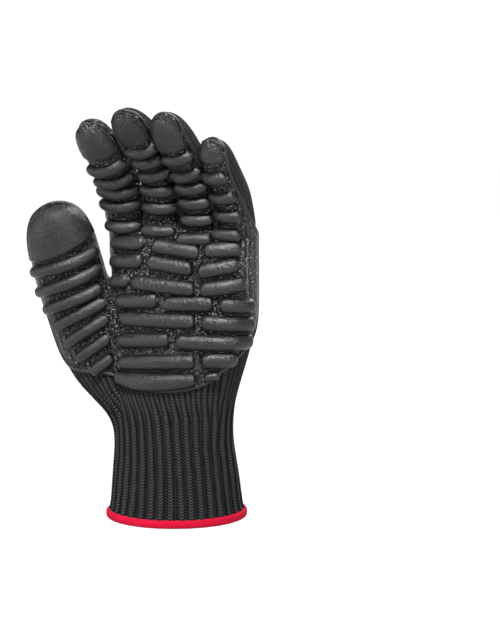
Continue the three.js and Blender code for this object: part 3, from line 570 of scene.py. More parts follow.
def build_cage():
    cage = Cage()
    tubes = {name: Tube(name) for name in SHAPES}
    rings, heights = hand_rings(cage, tubes["thumb"])
    mark = lower_hand(cage, rings, heights)
    web, end = upper_hand(cage, rings, heights, mark)
    columns = [BACK[-1], *THUMB, FRONT[0]]
    a, b = mark[columns[0]], mark[columns[-1]]
    wales = [(a - WEB_WALES, a), *spans(mark[columns]), (b, b + WEB_WALES)]
    loop = [web, *[rings[SPLIT][c] for c in columns]]
    grow(cage, "thumb", tubes["thumb"], loop, (wales, wales), heights[SPLIT])
    grow_fingers(cage, tubes, rings[-1], end, mark, heights[-1])
    return cage, tubes


def catmull_clark(points, faces, uvs, parts):
    """One smoothing. The open edge is kept as a curve"""
    n, m = len(points), len(faces)
    centre = points[faces].mean(1)
    edges = np.sort(np.stack([faces, np.roll(faces, -1, 1)], 2).reshape(-1, 2), 1)
    edges, inverse, count = np.unique(edges, axis=0, return_inverse=True, return_counts=True)
    inverse = inverse.reshape(-1)
    beside = np.zeros((len(edges), points.shape[1]))
    np.add.at(beside, inverse, np.repeat(centre, 4, 0))
    middle = points[edges].mean(1)
    is_open = count == 1
    edge_points = np.where(is_open[:, None], middle, (2 * middle + beside) / 4)
    moved = moved_corners(points, faces, centre, edges, middle)
    rim = edges[is_open]
    rim_sum, on_rim = np.zeros_like(points), np.zeros(n)
    for a, b in ((0, 1), (1, 0)):
        np.add.at(rim_sum, rim[:, a], points[rim[:, b]])
        np.add.at(on_rim, rim[:, a], 1)
    held = on_rim > 0
    moved[held] = (6 * points[held] + rim_sum[held]) / 8
    edge_ids = inverse.reshape(m, 4) + n
    face_ids = np.arange(m) + n + len(edges)
    uv_mid, uv_centre = (uvs + np.roll(uvs, -1, 1)) / 2, uvs.mean(1)
    new_faces, new_uvs = [], []
    for i in range(4):
        j = (i - 1) % 4
        new_faces.append(np.stack([faces[:, i], edge_ids[:, i], face_ids, edge_ids[:, j]], 1))
        new_uvs.append(np.stack([uvs[:, i], uv_mid[:, i], uv_centre, uv_mid[:, j]], 1))
    points = np.vstack([moved, edge_points, centre])
    return points, np.concatenate(new_faces), np.concatenate(new_uvs), np.tile(parts, 4)


def moved_corners(points, faces, centre, edges, middle):
    """Where the old corners go"""
    faces_at, edges_at = np.zeros(len(points)), np.zeros(len(points))
    face_sum, edge_sum = np.zeros_like(points), np.zeros_like(points)
    np.add.at(faces_at, faces.reshape(-1), 1)
    np.add.at(face_sum, faces.reshape(-1), np.repeat(centre, 4, 0))
    for end in (0, 1):
        np.add.at(edges_at, edges[:, end], 1)
        np.add.at(edge_sum, edges[:, end], middle)
    k = faces_at[:, None]
    return (face_sum / k + 2 * edge_sum / edges_at[:, None] + (k - 3) * points) / k


def unit(vectors):
    return vectors / np.maximum(norm(vectors, axis=-1, keepdims=True), 1e-12)


def normals_of(points, faces):
    a, b, c, d = (points[faces[:, i]] for i in range(4))
    across = np.cross(c - a, d - b)
    normals = np.zeros_like(points)
    for i in range(4):
        np.add.at(normals, faces[:, i], across)
    return unit(normals)


# Materials. Sizes of noises and heights of bumps are millimetres

def node(tree, kind, inputs=None, **settings):
    made = tree.nodes.new("ShaderNode" + kind)
    for key, value in settings.items():
        setattr(made, key, value)
    for key, value in (inputs or {}).items():
        if isinstance(value, bpy.types.NodeSocket):
            tree.links.new(value, made.inputs[key])
        else:
            made.inputs[key].default_value = value
    return made


def calc(tree, operation, *values, clamp=False):
    return node(tree, "Math", dict(enumerate(values)), operation=operation, use_clamp=clamp).outputs[0]


def blend(tree, share, low, high):
    return node(tree, "Mix", {0: share, 2: low, 3: high}).outputs[0]


def tint(tree, share, low, high):
    return node(tree, "Mix", {0: share, 6: (*low, 1), 7: (*high, 1)}, data_type="RGBA").outputs[2]


def noise(tree, size, detail=3, rough=0.55):
    where = node(tree, "TexCoord").outputs["Object"]
    inputs = {"Vector": where, "Scale": 1 / (size * MM), "Detail": detail, "Roughness": rough}
    return node(tree, "TexNoise", inputs).outputs[0]


def peaks(tree, value, low, high):
    """A noise turned into spots: none below low, full above high"""
    inputs = {"Value": value, "From Min": low, "From Max": high}
    return node(tree, "MapRange", inputs, interpolation_type="SMOOTHSTEP").outputs[0]


def painted(tree, name):
    return node(tree, "Attribute", attribute_name=name).outputs["Fac"]


def stitch_place(tree):
    """Stitch column and row, whole numbers at each stitch's borders"""
    uv = node(tree, "SeparateXYZ", {0: node(tree, "UVMap", uv_map="stitches").outputs[0]})
    return uv.outputs[0], uv.outputs[1]


def stitches(tree):
    """Height of knitted stitches, 0 in the gaps to 1 on the yarn. Each column is a row of Vs"""
    u, v = stitch_place(tree)
    wobble = calc(tree, "SUBTRACT", noise(tree, size=9, detail=1), 0.5)
    u = calc(tree, "ADD", u, calc(tree, "MULTIPLY", wobble, STITCH_WOBBLE))
    off = calc(tree, "ABSOLUTE", calc(tree, "SUBTRACT", calc(tree, "FRACT", u), 0.5))
    across = calc(tree, "SUBTRACT", 1, calc(tree, "POWER", calc(tree, "MULTIPLY", off, 2), YARN_POWER))
    row = calc(tree, "FRACT", calc(tree, "SUBTRACT", v, calc(tree, "MULTIPLY", off, STITCH_SLOPE)))
    along = calc(tree, "SINE", calc(tree, "MULTIPLY", row, pi))
    return calc(tree, "MULTIPLY", across, along)


def material(name):
    made = bpy.data.materials.new(name)
    made.use_nodes = True
    made.node_tree.nodes.clear()
    return made, made.node_tree


def dress(tree, color, rough, bumps=(), **fixed):
    """The shader. bumps are heights with their rises, from the lowest layer up"""
    inputs = {"Base Color": color, "Roughness": rough}
    inputs.update({key.replace("_", " "): value for key, value in fixed.items()})
    for height, rise in bumps:
        below = {"Normal": inputs["Normal"]} if "Normal" in inputs else {}
        bump = node(tree, "Bump", {"Height": height, "Distance": rise * MM, **below})
        inputs["Normal"] = bump.outputs[0]
    shader = node(tree, "BsdfPrincipled", inputs)
    node(tree, "OutputMaterial", {"Surface": shader.outputs[0]})


def knit_material(name):
    made, tree = material(name)
    yarn = stitches(tree)
    fibre, cloud = noise(tree, size=0.35, detail=4, rough=0.7), noise(tree, size=14, detail=2)
    # Painted shade: the colour darkens in the gaps between stitches and is bright only on the yarn's crest
    shaded_gaps = calc(tree, "POWER", yarn, YARN_POWER)
    light = calc(tree, "MULTIPLY", shaded_gaps, blend(tree, fibre, low=0.6, high=1.25))
    light = calc(tree, "MULTIPLY", light, blend(tree, cloud, low=0.8, high=1.2), clamp=True)
    # Painted shade in the valleys of the ribs, from the rib attribute
    light = calc(tree, "MULTIPLY", light, blend(tree, painted(tree, "rib"), low=0.2, high=1.0))
    color = tint(tree, light, *KNIT_TINTS)
    rough = blend(tree, fibre, low=0.86, high=1.0)
    gloss = {"Sheen_Weight": 0.03, "Sheen_Roughness": 0.5, "Specular_IOR_Level": 0.06}
    dress(tree, color, rough, ((yarn, 1.0), (fibre, 0.18)), **gloss)
    return made


def rubber_noises(tree, crumple, cloud):
    """Creases, small spots and large clouds of moulded rubber. In the caps' and pads' colour the spots are
    painted highlight specks
    """
    creases = noise(tree, size=crumple, detail=4, rough=0.6)
    return creases, noise(tree, size=1.1, detail=3, rough=0.7), noise(tree, size=cloud, detail=2)


def coat_material(name):
    """Rubber with the stitches showing through and painted highlights, bright glints, on them, and smooth
    caps with a random mottle and painted highlight specks
    """
    made, tree = material(name)
    yarn, cap = stitches(tree), painted(tree, "cap")
    crumple, speck, cloud = rubber_noises(tree, crumple=2.6, cloud=12)
    imprint = calc(tree, "MULTIPLY", yarn, blend(tree, cap, low=1.0, high=0.04))
    bare = calc(tree, "SUBTRACT", yarn, cap, clamp=True)
    # Painted highlights: bright glints painted on the bare stitches of the coat's floor
    floor = tint(tree, calc(tree, "MULTIPLY", peaks(tree, speck, low=0.55, high=0.68), bare), *COAT_AND_GLINT_TINTS)
    # The caps' colour: a random mottle from the clouds, with painted highlight specks
    mottle_and_highlight_specks = calc(tree, "MULTIPLY", peaks(tree, speck, low=0.3, high=0.75), cloud)
    leather = tint(tree, mottle_and_highlight_specks, *CAP_TINTS)
    color = node(tree, "Mix", {0: cap, 6: floor, 7: leather}, data_type="RGBA").outputs[2]
    dull = blend(tree, speck, low=0.08, high=0.36)
    rough = calc(tree, "ADD", dull, blend(tree, cap, low=0.0, high=0.22))
    dress(tree, color, rough, ((imprint, 0.9), (crumple, 0.6), (speck, 0.16)), Specular_IOR_Level=0.32)
    return made


def pad_material(name):
    made, tree = material(name)
    crumple, speck, cloud = rubber_noises(tree, crumple=2.4, cloud=9)
    # Painted highlight specks, spread in random clouds
    spots = peaks(tree, speck, low=0.35, high=0.75)
    share = calc(tree, "MULTIPLY", spots, blend(tree, cloud, low=0.3, high=1.2))
    # Painted shade: the pads' steep sides are darkened
    sides = blend(tree, painted(tree, "edge"), low=1.0, high=0.4)
    color = tint(tree, calc(tree, "MULTIPLY", share, sides, clamp=True), *PAD_TINTS)
    rough = blend(tree, speck, low=0.22, high=0.52)
    dress(tree, color, rough, ((crumple, 0.65), (speck, 0.3)), Specular_IOR_Level=0.42)
    return made


def hem_material(name):
    made, tree = material(name)
    turns = calc(tree, "MULTIPLY", calc(tree, "ADD", *stitch_place(tree)), 2 * pi)
    thread = calc(tree, "ADD", calc(tree, "MULTIPLY", calc(tree, "SINE", turns), 0.5), 0.5)
    fibre, cloud = noise(tree, size=0.3, detail=4, rough=0.7), noise(tree, size=8, detail=2)
    clouds = blend(tree, cloud, low=0.8, high=1.15)
    share = calc(tree, "MULTIPLY", blend(tree, thread, low=0.45, high=1.0), clouds, clamp=True)
    rough = blend(tree, fibre, low=0.75, high=0.95)
    color = tint(tree, share, *HEM_TINTS)
    dress(tree, color, rough, ((thread, 0.3), (fibre, 0.12)), Specular_IOR_Level=0.12)
    return made


def label_material(name, tints):
    made, tree = material(name)
    weave, cloud = noise(tree, size=0.6, detail=3, rough=0.6), noise(tree, size=10, detail=3)
    rough = blend(tree, weave, low=0.38, high=0.6)
    dress(tree, tint(tree, cloud, *tints), rough, ((weave, 0.08),))
    return made


# Meshes

def added(name, data):
    made = bpy.data.objects.new(name, data)
    scene.collection.objects.link(made)
    return made


def piece(name, points, faces, look, nodes, uvs=None, values=None):
    mesh = bpy.data.meshes.new(name)
    mesh.from_pydata(np.asarray(points) * MM, [], [list(map(int, f)) for f in faces])
    mesh.update()
    mesh.shade_smooth()
    if uvs is not None:
        layer = mesh.uv_layers.new(name="stitches")
        layer.data.foreach_set("uv", np.asarray(uvs, float).reshape(-1))
    for key, data in (values or {}).items():
        attribute = mesh.attributes.new(key, "FLOAT", "POINT")
        attribute.data.foreach_set("value", np.asarray(data, float))
    made = added(name, mesh)
    mesh.materials.append(look)
    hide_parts(*nodes)
    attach(made, "root")
    return made


def grid_faces(rows, columns, closed=False):
    faces = []
    for i in range(rows - 1):
        for j in range(columns if closed else columns - 1):
            k = (j + 1) % columns
            faces.append((i * columns + j, i * columns + k, (i + 1) * columns + k, (i + 1) * columns + j))
    return faces


def loop_faces(count, sides):
    """Faces of a closed tube, ring after ring"""
    faces = []
    for i in range(count):
        for k in range(sides):
            j, l = (i + 1) % count, (k + 1) % sides
            faces.append((i * sides + k, j * sides + k, j * sides + l, i * sides + l))
    return faces


def spline(t):
    """Weights of four points for a place between the middle two"""
    return np.array([(1 - t) ** 3, 3 * t**3 - 6 * t**2 + 4, -3 * t**3 + 3 * t**2 + 3 * t + 1, t**3]) / 6


def slow_wave(height, ribs, wave):
    share, length, step = wave
    return share * np.sin(height / length + step * ribs)


def rib_wave(wales, height):
    """Ribs of two stitch columns: how high a place is in its rib, which the knit's colour also uses for
    painted shade in the rib valleys, its relief and its strength
    """
    rib = wales / 2
    drift = slow_wave(height, np.floor(rib), RIB_DRIFT) + slow_wave(height, rib, RIB_SWAY)
    off = np.abs((rib + drift - RIB_CENTRE + 0.5) % 1 - 0.5) * 2
    wave = (0.5 + 0.5 * np.cos(pi * off)) ** RIB_POWER
    fade = 1 - smoothstep((height - RIB_FADE[0]) / (RIB_FADE[1] - RIB_FADE[0]))
    uneven = 1 + slow_wave(height, np.floor(rib), RIB_UNEVEN)
    return mix(1, wave, fade), RIB_RISE * fade * uneven * (wave - RIB_LEVEL), fade


def band_surface(cage, bottom, top, rows, at):
    """Points between two rings of the cage, on the same smooth surface as the hand"""
    rings = np.array([[cage.place(COLUMNS * i + c) for c in range(COLUMNS)] for i in range(top + 2)])
    marks = np.array([round_wales(ring, WALES) for ring in rings])
    rings = np.concatenate([[2 * rings[0] - rings[1]], rings])
    outer = []
    for r in range(rows):
        v = mix(bottom, top, r / (rows - 1))
        low = min(int(v), top - 1)
        ring = np.tensordot(spline(v - low), rings[low : low + 4], 1)
        turns = np.interp(at, mix(marks[low], marks[low + 1], v - low), np.arange(COLUMNS + 1))
        column = turns.astype(int)
        weights = spline(turns - column)
        outer.append(sum(weights[k][:, None] * ring[(column - 1 + k) % COLUMNS] for k in range(4)))
    return np.array(outer)


def band_stitches(height, fade):
    """Stitch places of the faces' corners: a rib shows one of its two columns"""
    rows, count = height.shape
    uvs = []
    for i, j in ((i, j) for i in range(rows - 1) for j in range(count)):
        for a, b in ((i, j), (i, j + 1), (i + 1, j + 1), (i + 1, j)):
            base, part = divmod(b, RIB_STEPS)
            part = part / RIB_STEPS
            u = part / RIB_SPLIT if part < RIB_SPLIT else 1 + (part - RIB_SPLIT) / (1 - RIB_SPLIT)
            uvs.append((2 * base + mix(2 * part, u, fade[a, b % count]), height[a, b % count] / COURSE))
    return uvs


def knit_band(cage, bottom, top, rows):
    """The ribbed knit between two rings of the cage"""
    count = WALES // 2 * RIB_STEPS
    at = np.arange(count) * WALES / count
    outer = band_surface(cage, bottom, top, rows, at)
    normals = np.cross(np.roll(outer, -1, 1) - np.roll(outer, 1, 1), np.gradient(outer, axis=0))
    if bottom == 0:
        normals[0, :, 2] = 0
    normals = unit(normals)
    height = outer[:, :, 2]
    wave, relief, fade = rib_wave(np.tile(at, (rows, 1)), height)
    outside = (outer + normals * relief[..., None]).reshape(-1, 3)
    inside = (outer - normals * KNIT_WALL).reshape(-1, 3)
    return outside, inside, grid_faces(rows, count, True), band_stitches(height, fade), wave.reshape(-1)


def shell(outside, faces, uvs, ends):
    """Faces and stitches of a wall with two sides, and rims along the ends"""
    total = len(outside)
    rims = [(b, a, a + total, b + total) for line in ends for a, b in zip(line, np.roll(line, -1))]
    inner = [tuple(i + total for i in f[::-1]) for f in faces]
    return [*faces, *inner, *rims], uvs + uvs + [NO_STITCH] * (4 * len(rims))


def cuff_piece(cage, look):
    outside, inside, faces, uvs, wave = knit_band(cage, 0, CUFF_TOP, CUFF_ROWS)
    count = len(outside) // CUFF_ROWS
    first, last = np.arange(count), np.arange(count) + (CUFF_ROWS - 1) * count
    faces, uvs = shell(outside, faces, uvs, (first, last[::-1]))
    # rib darkens the knit's colour in the rib valleys with painted shade
    points, values = np.vstack([outside, inside]), {"rib": np.tile(wave, 2)}
    piece("cuff", points, faces, look, ["knit_cuff"], uvs, values)


def hand_piece(cage, net, look):
    """The knitted hand and fingers, with the band above the cuff where the ribs run out"""
    points, faces, uvs, parts = net
    keep = parts == "hand"
    normals = normals_of(points, faces[keep])
    used, faces = np.unique(faces[keep], return_inverse=True)
    faces = faces.reshape(-1, 4)
    band, band_inside, band_faces, band_uvs, wave = knit_band(cage, CUFF_TOP, CUFF_TOP + 1, WRIST_ROWS)
    outside = np.vstack([points[used], band])
    inside = np.vstack([points[used] - normals[used] * KNIT_WALL, band_inside])
    faces = [*map(tuple, faces.tolist()), *[tuple(i + len(used) for i in f) for f in band_faces]]
    foot = np.arange(len(band) // WRIST_ROWS) + len(used)
    faces, uvs = shell(outside, faces, [*uvs[keep].reshape(-1, 2).tolist(), *band_uvs], (foot,))
    # rib is 1 on the hand, so only the band's rib valleys get painted shade
    values = {"rib": np.tile(np.concatenate([np.ones(len(used)), wave]), 2)}
    nodes = ["knit_hand", *["knit_" + name for name in SHAPES]]
    piece("hand", np.vstack([outside, inside]), faces, look, nodes, uvs, values)


def cap_share(points, normals, tubes, rim):
    """How far places are in the nearest finger's smooth cap and on its lip"""
    nearest, share, lip = np.full(len(points), np.inf), np.zeros(len(points)), np.zeros(len(points))
    for name, tube in tubes.items():
        start, side, back, direction = tube.frame(CAP_START[name])
        direction = direction + side * CAP_TILT * (name == "thumb")
        offset = points - start
        along = offset @ direction
        aside = norm(offset - along[:, None] * direction, axis=1)
        closer = aside < nearest
        nearest = np.where(closer, aside, nearest)
        front = -(normals @ back)
        inside = smoothstep((along + rim) / (2 * rim))
        share = np.where(closer, inside * smoothstep((front - CAP_SIDE) / (1 - CAP_SIDE)), share)
        lip = np.where(closer, inside * np.exp(-(((front - LIP_FRONT) / LIP_SPREAD) ** 2)), lip)
    return share, lip


def clipped(points, normals, cover, faces, uvs):
    """Faces cut along cover zero, with their points, stitches and the links of the cut"""
    points, normals, cover = list(points), list(normals), list(cover)
    cuts, links, new_faces, new_uvs = {}, {}, [], []

    def cut(key):
        if key not in cuts:
            a, b = key
            share = cover[a] / (cover[a] - cover[b])
            points.append(mix(points[a], points[b], share))
            normals.append(mix(normals[a], normals[b], share))
            cover.append(0.0)
            cuts[key] = len(points) - 1
        return cuts[key]

    for face, corner in zip(faces.tolist(), uvs):
        kept, kept_uv, ends = [], [], []
        for i, a in enumerate(face):
            j = (i + 1) % 4
            b = face[j]
            if cover[a] > 0:
                kept.append(a)
                kept_uv.append(corner[i].tolist())
            if (cover[a] > 0) != (cover[b] > 0):
                ends.append(cut((min(a, b), max(a, b))))
                kept.append(ends[-1])
                kept_uv.append(mix(corner[i], corner[j], cover[a] / (cover[a] - cover[b])).tolist())
        new_faces.append(kept)
        new_uvs.append(kept_uv)
        if len(ends) == 2:
            for a, b in (ends, ends[::-1]):
                links.setdefault(a, []).append(b)
    return np.array(points), np.array(normals), np.array(cover), new_faces, new_uvs, links


def coat_piece(points, cover, faces, uvs, tubes, look):
    """The coat: the surface where the cover is positive, lifted"""
    inside = cover[faces] > 0
    whole = inside.all(1)
    partly = inside.any(1) & ~whole
    cut = clipped(points, normals_of(points, faces), cover, faces[partly], uvs[partly])
    points, normals, cover, cut_faces, cut_uvs, links = cut
    faces, uvs = faces[whole].tolist() + cut_faces, uvs[whole].tolist() + cut_uvs
    normals = unit(normals)
    cap, lip = cap_share(points, normals, tubes, CAP_RIM)
    cap = cap * smoothstep((cover - CAP_COVER) / CAP_COVER)
    edge = smoothstep(cover / BORDER_COVER)
    lift = BORDER_TOP + (COAT_TOP - BORDER_TOP) * edge + CAP_RISE * cap + LIP_RISE * lip
    lifted = points + normals * lift[:, None]
    used = np.unique(np.concatenate([np.asarray(f) for f in faces]))
    order = np.full(len(points), -1)
    order[used] = np.arange(len(used))
    shown = [order[f] for f in faces]
    flat_uvs = [uv for face in uvs for uv in face]
    piece("coat", lifted[used], shown, look, ["palm_coat"], flat_uvs, {"cap": cap[used]})
    return chains(links, points)


def chains(links, places):
    """The coat's border as closed lines"""
    loops, seen = [], set()
    for start in sorted(links):
        if start in seen:
            continue
        line, here, last = [], start, None
        while here not in seen:
            seen.add(here)
            line.append(here)
            onward = [k for k in links[here] if k != last and k not in seen]
            last = here
            here = onward[0] if onward else start
        if len(line) > LEAST_BORDER:
            loops.append(places[line])
    return loops


def evened(line, step):
    """A closed line with evenly spaced points, its jags smoothed out"""
    closed = np.vstack([line, line[:1]])
    length = np.concatenate([[0], np.cumsum(norm(np.diff(closed, axis=0), axis=1))])
    count = max(8, int(length[-1] / step))
    at = np.arange(count) / count * length[-1]
    return softened(np.stack([np.interp(at, length, closed[:, k]) for k in range(3)], 1), 6)


def edge_piece(loops, tree, look):
    """A bead along the coat's border"""
    points, faces = [], []
    for loop in loops:
        hits = [tree.find_nearest(Vector(p)) for p in evened(loop, BEAD_STEP)]
        line = np.array([h[0] for h in hits])
        up = unit(softened(np.array([h[1] for h in hits]), 4))
        across = unit(np.cross(up, np.roll(line, -1, 0) - np.roll(line, 1, 0)))
        base = len(points)
        for place, out, over in zip(line, across, up):
            for k in range(BEAD_SIDES):
                a = 2 * pi * k / BEAD_SIDES
                rise = BEAD_HEIGHT + BEAD_RADIUS * sin(a)
                points.append(place + out * BEAD_RADIUS * cos(a) + over * rise)
        faces += [tuple(base + q for q in f) for f in loop_faces(len(line), BEAD_SIDES)]
    uvs = [ON_YARN] * (4 * len(faces))
    values = {"cap": [1.0] * len(points)}
    piece("coat_edge", points, faces, look, ["palm_coat"], uvs, values)


def pad_form(place, length, width, sag, lift):
    """A pad's surface: steep sides, rounded ends and a crowned top, sunk into the coat"""
    count = max(PAD_LEAST, int(length / PAD_FACET))
    end = min(PAD_ROUND[0] * width, PAD_ROUND[1] * length)
    points, edge = [], []
    lumps = RNG.uniform(-1, 1, 4)
    for i in range(count + 1):
        a = mix(-cos(pi * i / count), 2 * i / count - 1, PAD_EVEN)
        gap = 0.5 * length * (1 - abs(a))
        plan = max(rounded(gap / end, PAD_POWER), PAD_LEAST_PLAN)
        ends = rounded(gap / PAD_END, PAD_END_POWER)
        hang = sag * (1 - a * a)
        lump = lumps[0] * sin(3 * a + lumps[1]) + lumps[2] * cos(5 * a + 3 * lumps[3])
        wide = plan * 0.5 * width * (1 + PAD_WAVER * lumps[1] * sin(4 * a))
        for k in range(PAD_ACROSS):
            b = sin(0.5 * pi * (2 * k / (PAD_ACROSS - 1) - 1))
            sides = (1 - abs(b) ** PAD_POWER) ** PAD_SIDE_POWER
            crown = 1 - PAD_CROWN * b * b
            full = (PAD_RISE + lift + PAD_SINK) * sides * ends * crown * (1 + PAD_BULGE * lump)
            points.append(place((a + 1) / 2, b * wide - hang * (1 - b) / 2, full - PAD_SINK))
            # The steep sides, which the pad material darkens with painted shade
            edge.append((abs(b) > PAD_EDGE[0]) * (sides > PAD_EDGE[1]))
    return points, edge


def pad_piece(name, place, length, width, look, sag=0.0, lift=PAD_LIFT):
    """A moulded pad, closed below along its middle line"""
    points, edge = pad_form(place, length, width, sag, lift)
    rows, bottom, last = len(points) // PAD_ACROSS, len(points), PAD_ACROSS - 1
    top = grid_faces(rows, PAD_ACROSS)
    faces = list(top)
    points = np.array(points)
    points = np.vstack([points, (points[::PAD_ACROSS] + points[last::PAD_ACROSS]) / 2])
    for i in range(rows - 1):
        a, b, c = i * PAD_ACROSS, (i + 1) * PAD_ACROSS, bottom + i
        faces += [(a, b, c + 1, c), (c, c + 1, b + last, a + last)]
    faces.append([*range(PAD_ACROSS), bottom])
    faces.append([*range(bottom - 1, bottom - PAD_ACROSS - 1, -1), bottom + rows - 1])
    a, b, c, _ = points[[*top[len(faces) // 4]]]
    if np.cross(b - a, c - a).dot((a + b + c) / 3 - points.mean(0)) < 0:
        faces = [tuple(f)[::-1] for f in faces]
    values = {"edge": edge + [0] * rows}
    made = piece("look_" + name, points, faces, look, [name], None, values)


def path_length(place):
    line = np.array([place(t, 0, 0) for t in np.linspace(0, 1, PAD_SAMPLES)])
    return float(norm(np.diff(line, axis=0), axis=1).sum())


def hit(skin, origin, direction):
    found = skin.ray_cast(Vector(origin), Vector(direction))
    return found[3] if found[0] is not None else 0.0


def round_pad(skin, name, tube, places, angles, width, look, lift=PAD_LIFT):
    """A pad round a finger. places and angles are those of its two ends"""
    def place(share, across, rise):
        at, angle = mix(*places, share), radians(mix(*angles, share))
        point, side, back, along = tube.frame(at)
        point = point + along * (at * STEPS - round(at * STEPS)) * tube.length / STEPS
        aim = side * tube.width * sin(angle) - back * tube.depth * cos(angle)
        aim = aim / norm(aim)
        return point + aim * (hit(skin, point, aim) + rise) + along * across
    pad_piece(name, place, path_length(place), width, look, lift=lift)


def palm_pad(skin, name, begin, finish, start, end, width, sag, look):
    def place(share, across, rise):
        x, z = mix(begin, finish, share) * PALM_WIDTH, mix(start, end, share) * HAND_LENGTH + across
        foot = np.array([mix(PALM_MIDDLE, x, PALM_PAD_FAN), PALM_PAD_FOOT, z])
        aim = np.array([x, -PALM_DEPTH / 2, z]) - foot
        aim = aim / norm(aim)
        return foot + aim * (hit(skin, foot, aim) + rise)
    pad_piece(name, place, path_length(place), width, look, sag)


def all_pads(skin, tubes, look):
    for name, (begin, finish, start, end, *rest) in PALM_PADS.items():
        width, sag = rest or (PALM_PAD_WIDTH, 0.0)
        palm_pad(skin, "pad_palm_" + name, begin, finish, start, end, width, sag, look)
    for name, places in FINGER_PADS.items():
        for i, at in enumerate(places):
            left = float(smoothstep(at / ROOT_END))
            reach = (PAD_REACH[name] + PAD_MORE) * mix(ROOT_REACH, 1, left)
            width = mix(ROOT_PAD_WIDTH, FINGER_PAD_WIDTH, left)
            lift = mix(ROOT_PAD_LIFT, PAD_LIFT, left)
            round_pad(skin, f"pad_{name}_{i + 1}", tubes[name], (at, at), (-reach, reach), width, look, lift)
    for i, (outer, inner, *angles) in enumerate(THUMB_PADS):
        round_pad(skin, f"pad_thumb_{i + 1}", tubes["thumb"], (outer, inner), angles, THUMB_PAD_WIDTH, look)


def signed_power(value, power):
    return copysign(abs(value) ** power, value)


def hem_piece(look):
    """The overlocked edge: a soft rim of slanted threads"""
    ring, count = RINGS[0], THREADS * THREAD_POINTS
    points, uvs = [], []
    for i in range(count):
        middle = oval_corner(ring, COLUMNS * i / count)
        out = middle / norm(middle)
        ripple = sum(rise * sin(n * pi * i / count + begin) for rise, n, begin in HEM_RIPPLES)
        for k in range(HEM_SIDES):
            a = 2 * pi * k / HEM_SIDES
            turns = i / THREAD_POINTS + THREAD_SLANT * k / HEM_SIDES
            swell = 1 + THREAD_SWELL * cos(2 * pi * turns)
            x = signed_power(cos(a), HEM_POWERS[0]) * 0.5 * HEM_WIDTH * swell
            z = signed_power(sin(a), HEM_POWERS[1]) * 0.5 * HEM_HEIGHT * swell
            place = middle + out * (x - 0.5 * KNIT_WALL + HEM_OUT + HEM_RIPPLE * ripple)
            lift = 0.5 * HEM_HEIGHT * (1 + THREAD_SWELL) + z
            points.append(place + np.array([ring[4] * PALM_WIDTH, 0, lift]))
    for i in range(count):
        for k in range(HEM_SIDES):
            for a, b in ((i, k), (i + 1, k), (i + 1, k + 1), (i, k + 1)):
                uvs.append((a / THREAD_POINTS, THREAD_SLANT * b / HEM_SIDES))
    piece("hem_rim", points, loop_faces(count, HEM_SIDES), look, ["hem"], uvs)


def label_points(tree, box, corners, lifts, radius):
    """Points over the back of the hand. corners says which of the four are rounded"""
    left, right, low, high = box
    columns, rows = LABEL_GRID
    points = []
    for lift in lifts:
        for j in range(rows + 1):
            z = mix(low, high, 0.5 - 0.5 * cos(pi * j / rows))
            trim = [0.0, 0.0]
            for gap, pair in ((high - z, corners[:2]), (z - low, corners[2:])):
                if gap < radius:
                    cut = radius - sqrt(radius**2 - (radius - gap) ** 2)
                    trim = [max(t, cut * flag) for t, flag in zip(trim, pair)]
            for i in range(columns + 1):
                x = mix(left + trim[0], right - trim[1], i / columns)
                found = tree.ray_cast(Vector((x, 0, z)), Vector((0, 1, 0)))
                points.append((x, found[0].y + lift, z))
    return points


def label_piece(name, node_name, slot, tints, tree, box, corners, form):
    """A thin plate laid on the back of the hand"""
    columns, rows = LABEL_GRID
    wide = columns + 1
    layer = (rows + 1) * wide
    under = grid_faces(rows + 1, wide)
    over = [tuple(i + layer for i in f[::-1]) for f in under]
    first = [j * wide for j in range(rows + 1)]
    last = [j + columns for j in first[1:]]
    rim = [*range(wide), *last, *range(layer - 2, layer - wide - 1, -1), *first[-2:0:-1]]
    walls = [(rim[i], rim[i - 1], rim[i - 1] + layer, rim[i] + layer) for i in range(len(rim))]
    points, look = label_points(tree, box, corners, *form), label_material(slot, tints)
    piece(name, points, [*under, *over, *walls], look, [node_name])


def all_labels(tree):
    x, z = LABEL_PLACE[0] * PALM_WIDTH, LABEL_PLACE[1] * HAND_LENGTH
    left, right = x - LABEL_WIDTH / 2, x + LABEL_WIDTH / 2
    low, high = z - LABEL_HEIGHT / 2, z + LABEL_HEIGHT / 2
    seam, top = low + LABEL_SEAM * LABEL_HEIGHT, high - LABEL_RIM
    tab = right - LABEL_TAB * LABEL_WIDTH
    base, form = (left, right, low, high), LABEL_BASE
    label_piece("label_base", "label_lower", "label_dark", DARK_TINTS, tree, base, (1, 1, 0, 0), form)
    field, form = (left + LABEL_RIM, tab - LABEL_RIM, seam, top), LABEL_FIELD
    label_piece("label_field", "label_upper", "label_amber", AMBER_TINTS, tree, field, (1, 0, 0, 0), form)
    end = (tab, right - LABEL_RIM, seam, top)
    label_piece("label_end", "label_tab", "label_red", RED_TINTS, tree, end, (0, 1, 0, 0), form)


# Camera, floor and light

def look_at(made, place, target):
    made.location = Vector(place) * MM
    made.rotation_euler = (Vector(target) - Vector(place)).to_track_quat("-Z", "Y").to_euler()


def add_camera():
    a, e = radians(AZIMUTH), radians(ELEVATION)
    back = np.array([sin(a) * cos(e), -cos(a) * cos(e), sin(e)])
    right = np.array([cos(a), sin(a), 0])
    camera = added("camera", bpy.data.cameras.new("camera"))
    camera.data.lens = LENS
    camera.data.clip_end = FAR
    look_at(camera, TARGET + back * DISTANCE, TARGET + right * ASIDE)
    scene.camera = camera


def add_light(name, place, size, power):
    light = bpy.data.lights.new(name, "AREA")
    light.shape = "RECTANGLE"
    light.size, light.size_y = size[0] * MM, size[1] * MM
    light.energy = power
    look_at(added(name, light), place, LIT_MIDDLE)


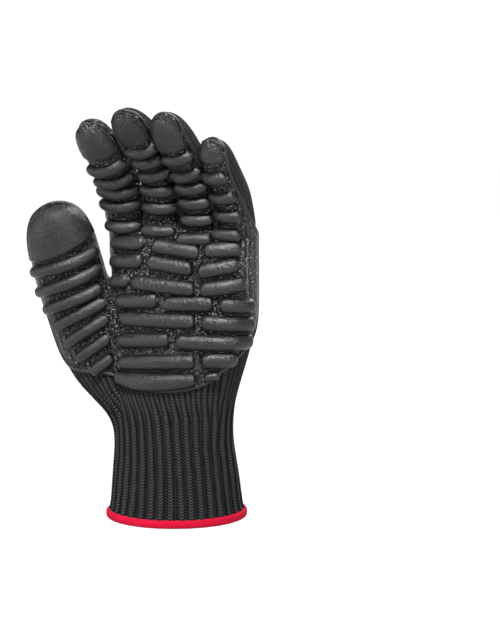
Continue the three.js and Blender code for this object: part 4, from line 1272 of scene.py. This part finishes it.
def add_plane(name, corners, glow, diffuse):
    mesh = bpy.data.meshes.new(name)
    mesh.from_pydata(corners, [], [(0, 1, 2, 3)])
    made = added(name, mesh)
    look, tree = material(name)
    color = tint(tree, noise(tree, size=300, detail=2), (diffuse,) * 3, (diffuse + STAGE_CLOUD,) * 3)
    fixed = {"Specular_IOR_Level": 0.0, "Emission_Color": (1, 1, 1, 1), "Emission_Strength": glow}
    dress(tree, color, STAGE_ROUGH, **fixed)
    mesh.materials.append(look)


def add_stage():
    size, depth, height = STAGE
    floor = [(-size, -size, 0), (size, -size, 0), (size, depth, 0), (-size, depth, 0)]
    wall = [(-size, depth, 0), (size, depth, 0), (size, depth, height), (-size, depth, height)]
    add_plane("floor", floor, *FLOOR_GLOW)
    add_plane("wall", wall, *WALL_GLOW)
    world = bpy.data.worlds.new("world")
    world.use_nodes = True
    background = world.node_tree.nodes["Background"]
    background.inputs[0].default_value = (1, 1, 1, 1)
    background.inputs[1].default_value = WORLD_GLOW
    scene.world = world
    for name, (place, area, power) in LIGHTS.items():
        add_light(name, place, area, power)


def tree_of(points, faces):
    return BVHTree.FromPolygons([Vector(p) for p in points], faces.tolist())


def add_glove():
    cage, tubes = build_cage()
    net = cage.net()
    for _ in range(SMOOTHINGS):
        net = catmull_clark(*net)
    points, cover, faces = net[0][:, :3], net[0][:, 3], net[1]
    hand_piece(cage, (points, *net[1:]), knit_material("hand_knit"))
    cuff_piece(cage, knit_material("cuff_knit"))

    normals = normals_of(points, faces)
    cap = cap_share(points, normals, tubes, SKIN_CAP_RIM)[0] * smoothstep(cover / SKIN_CAP_COVER)
    skin = tree_of(points + normals * (COAT_TOP + SKIN_CAP_RISE * cap)[:, None], faces)
    knit = tree_of(points, faces)

    rubber = coat_material("coat_rubber")
    fine = catmull_clark(*net)
    border = coat_piece(fine[0][:, :3], fine[0][:, 3], fine[1], fine[2], tubes, rubber)
    edge_piece(border, knit, rubber)
    all_pads(skin, tubes, pad_material("pad_rubber"))
    hem_piece(hem_material("hem_yarn"))
    all_labels(knit)


scene.view_settings.view_transform = "Standard"
add_camera()
add_stage()
add_glove()
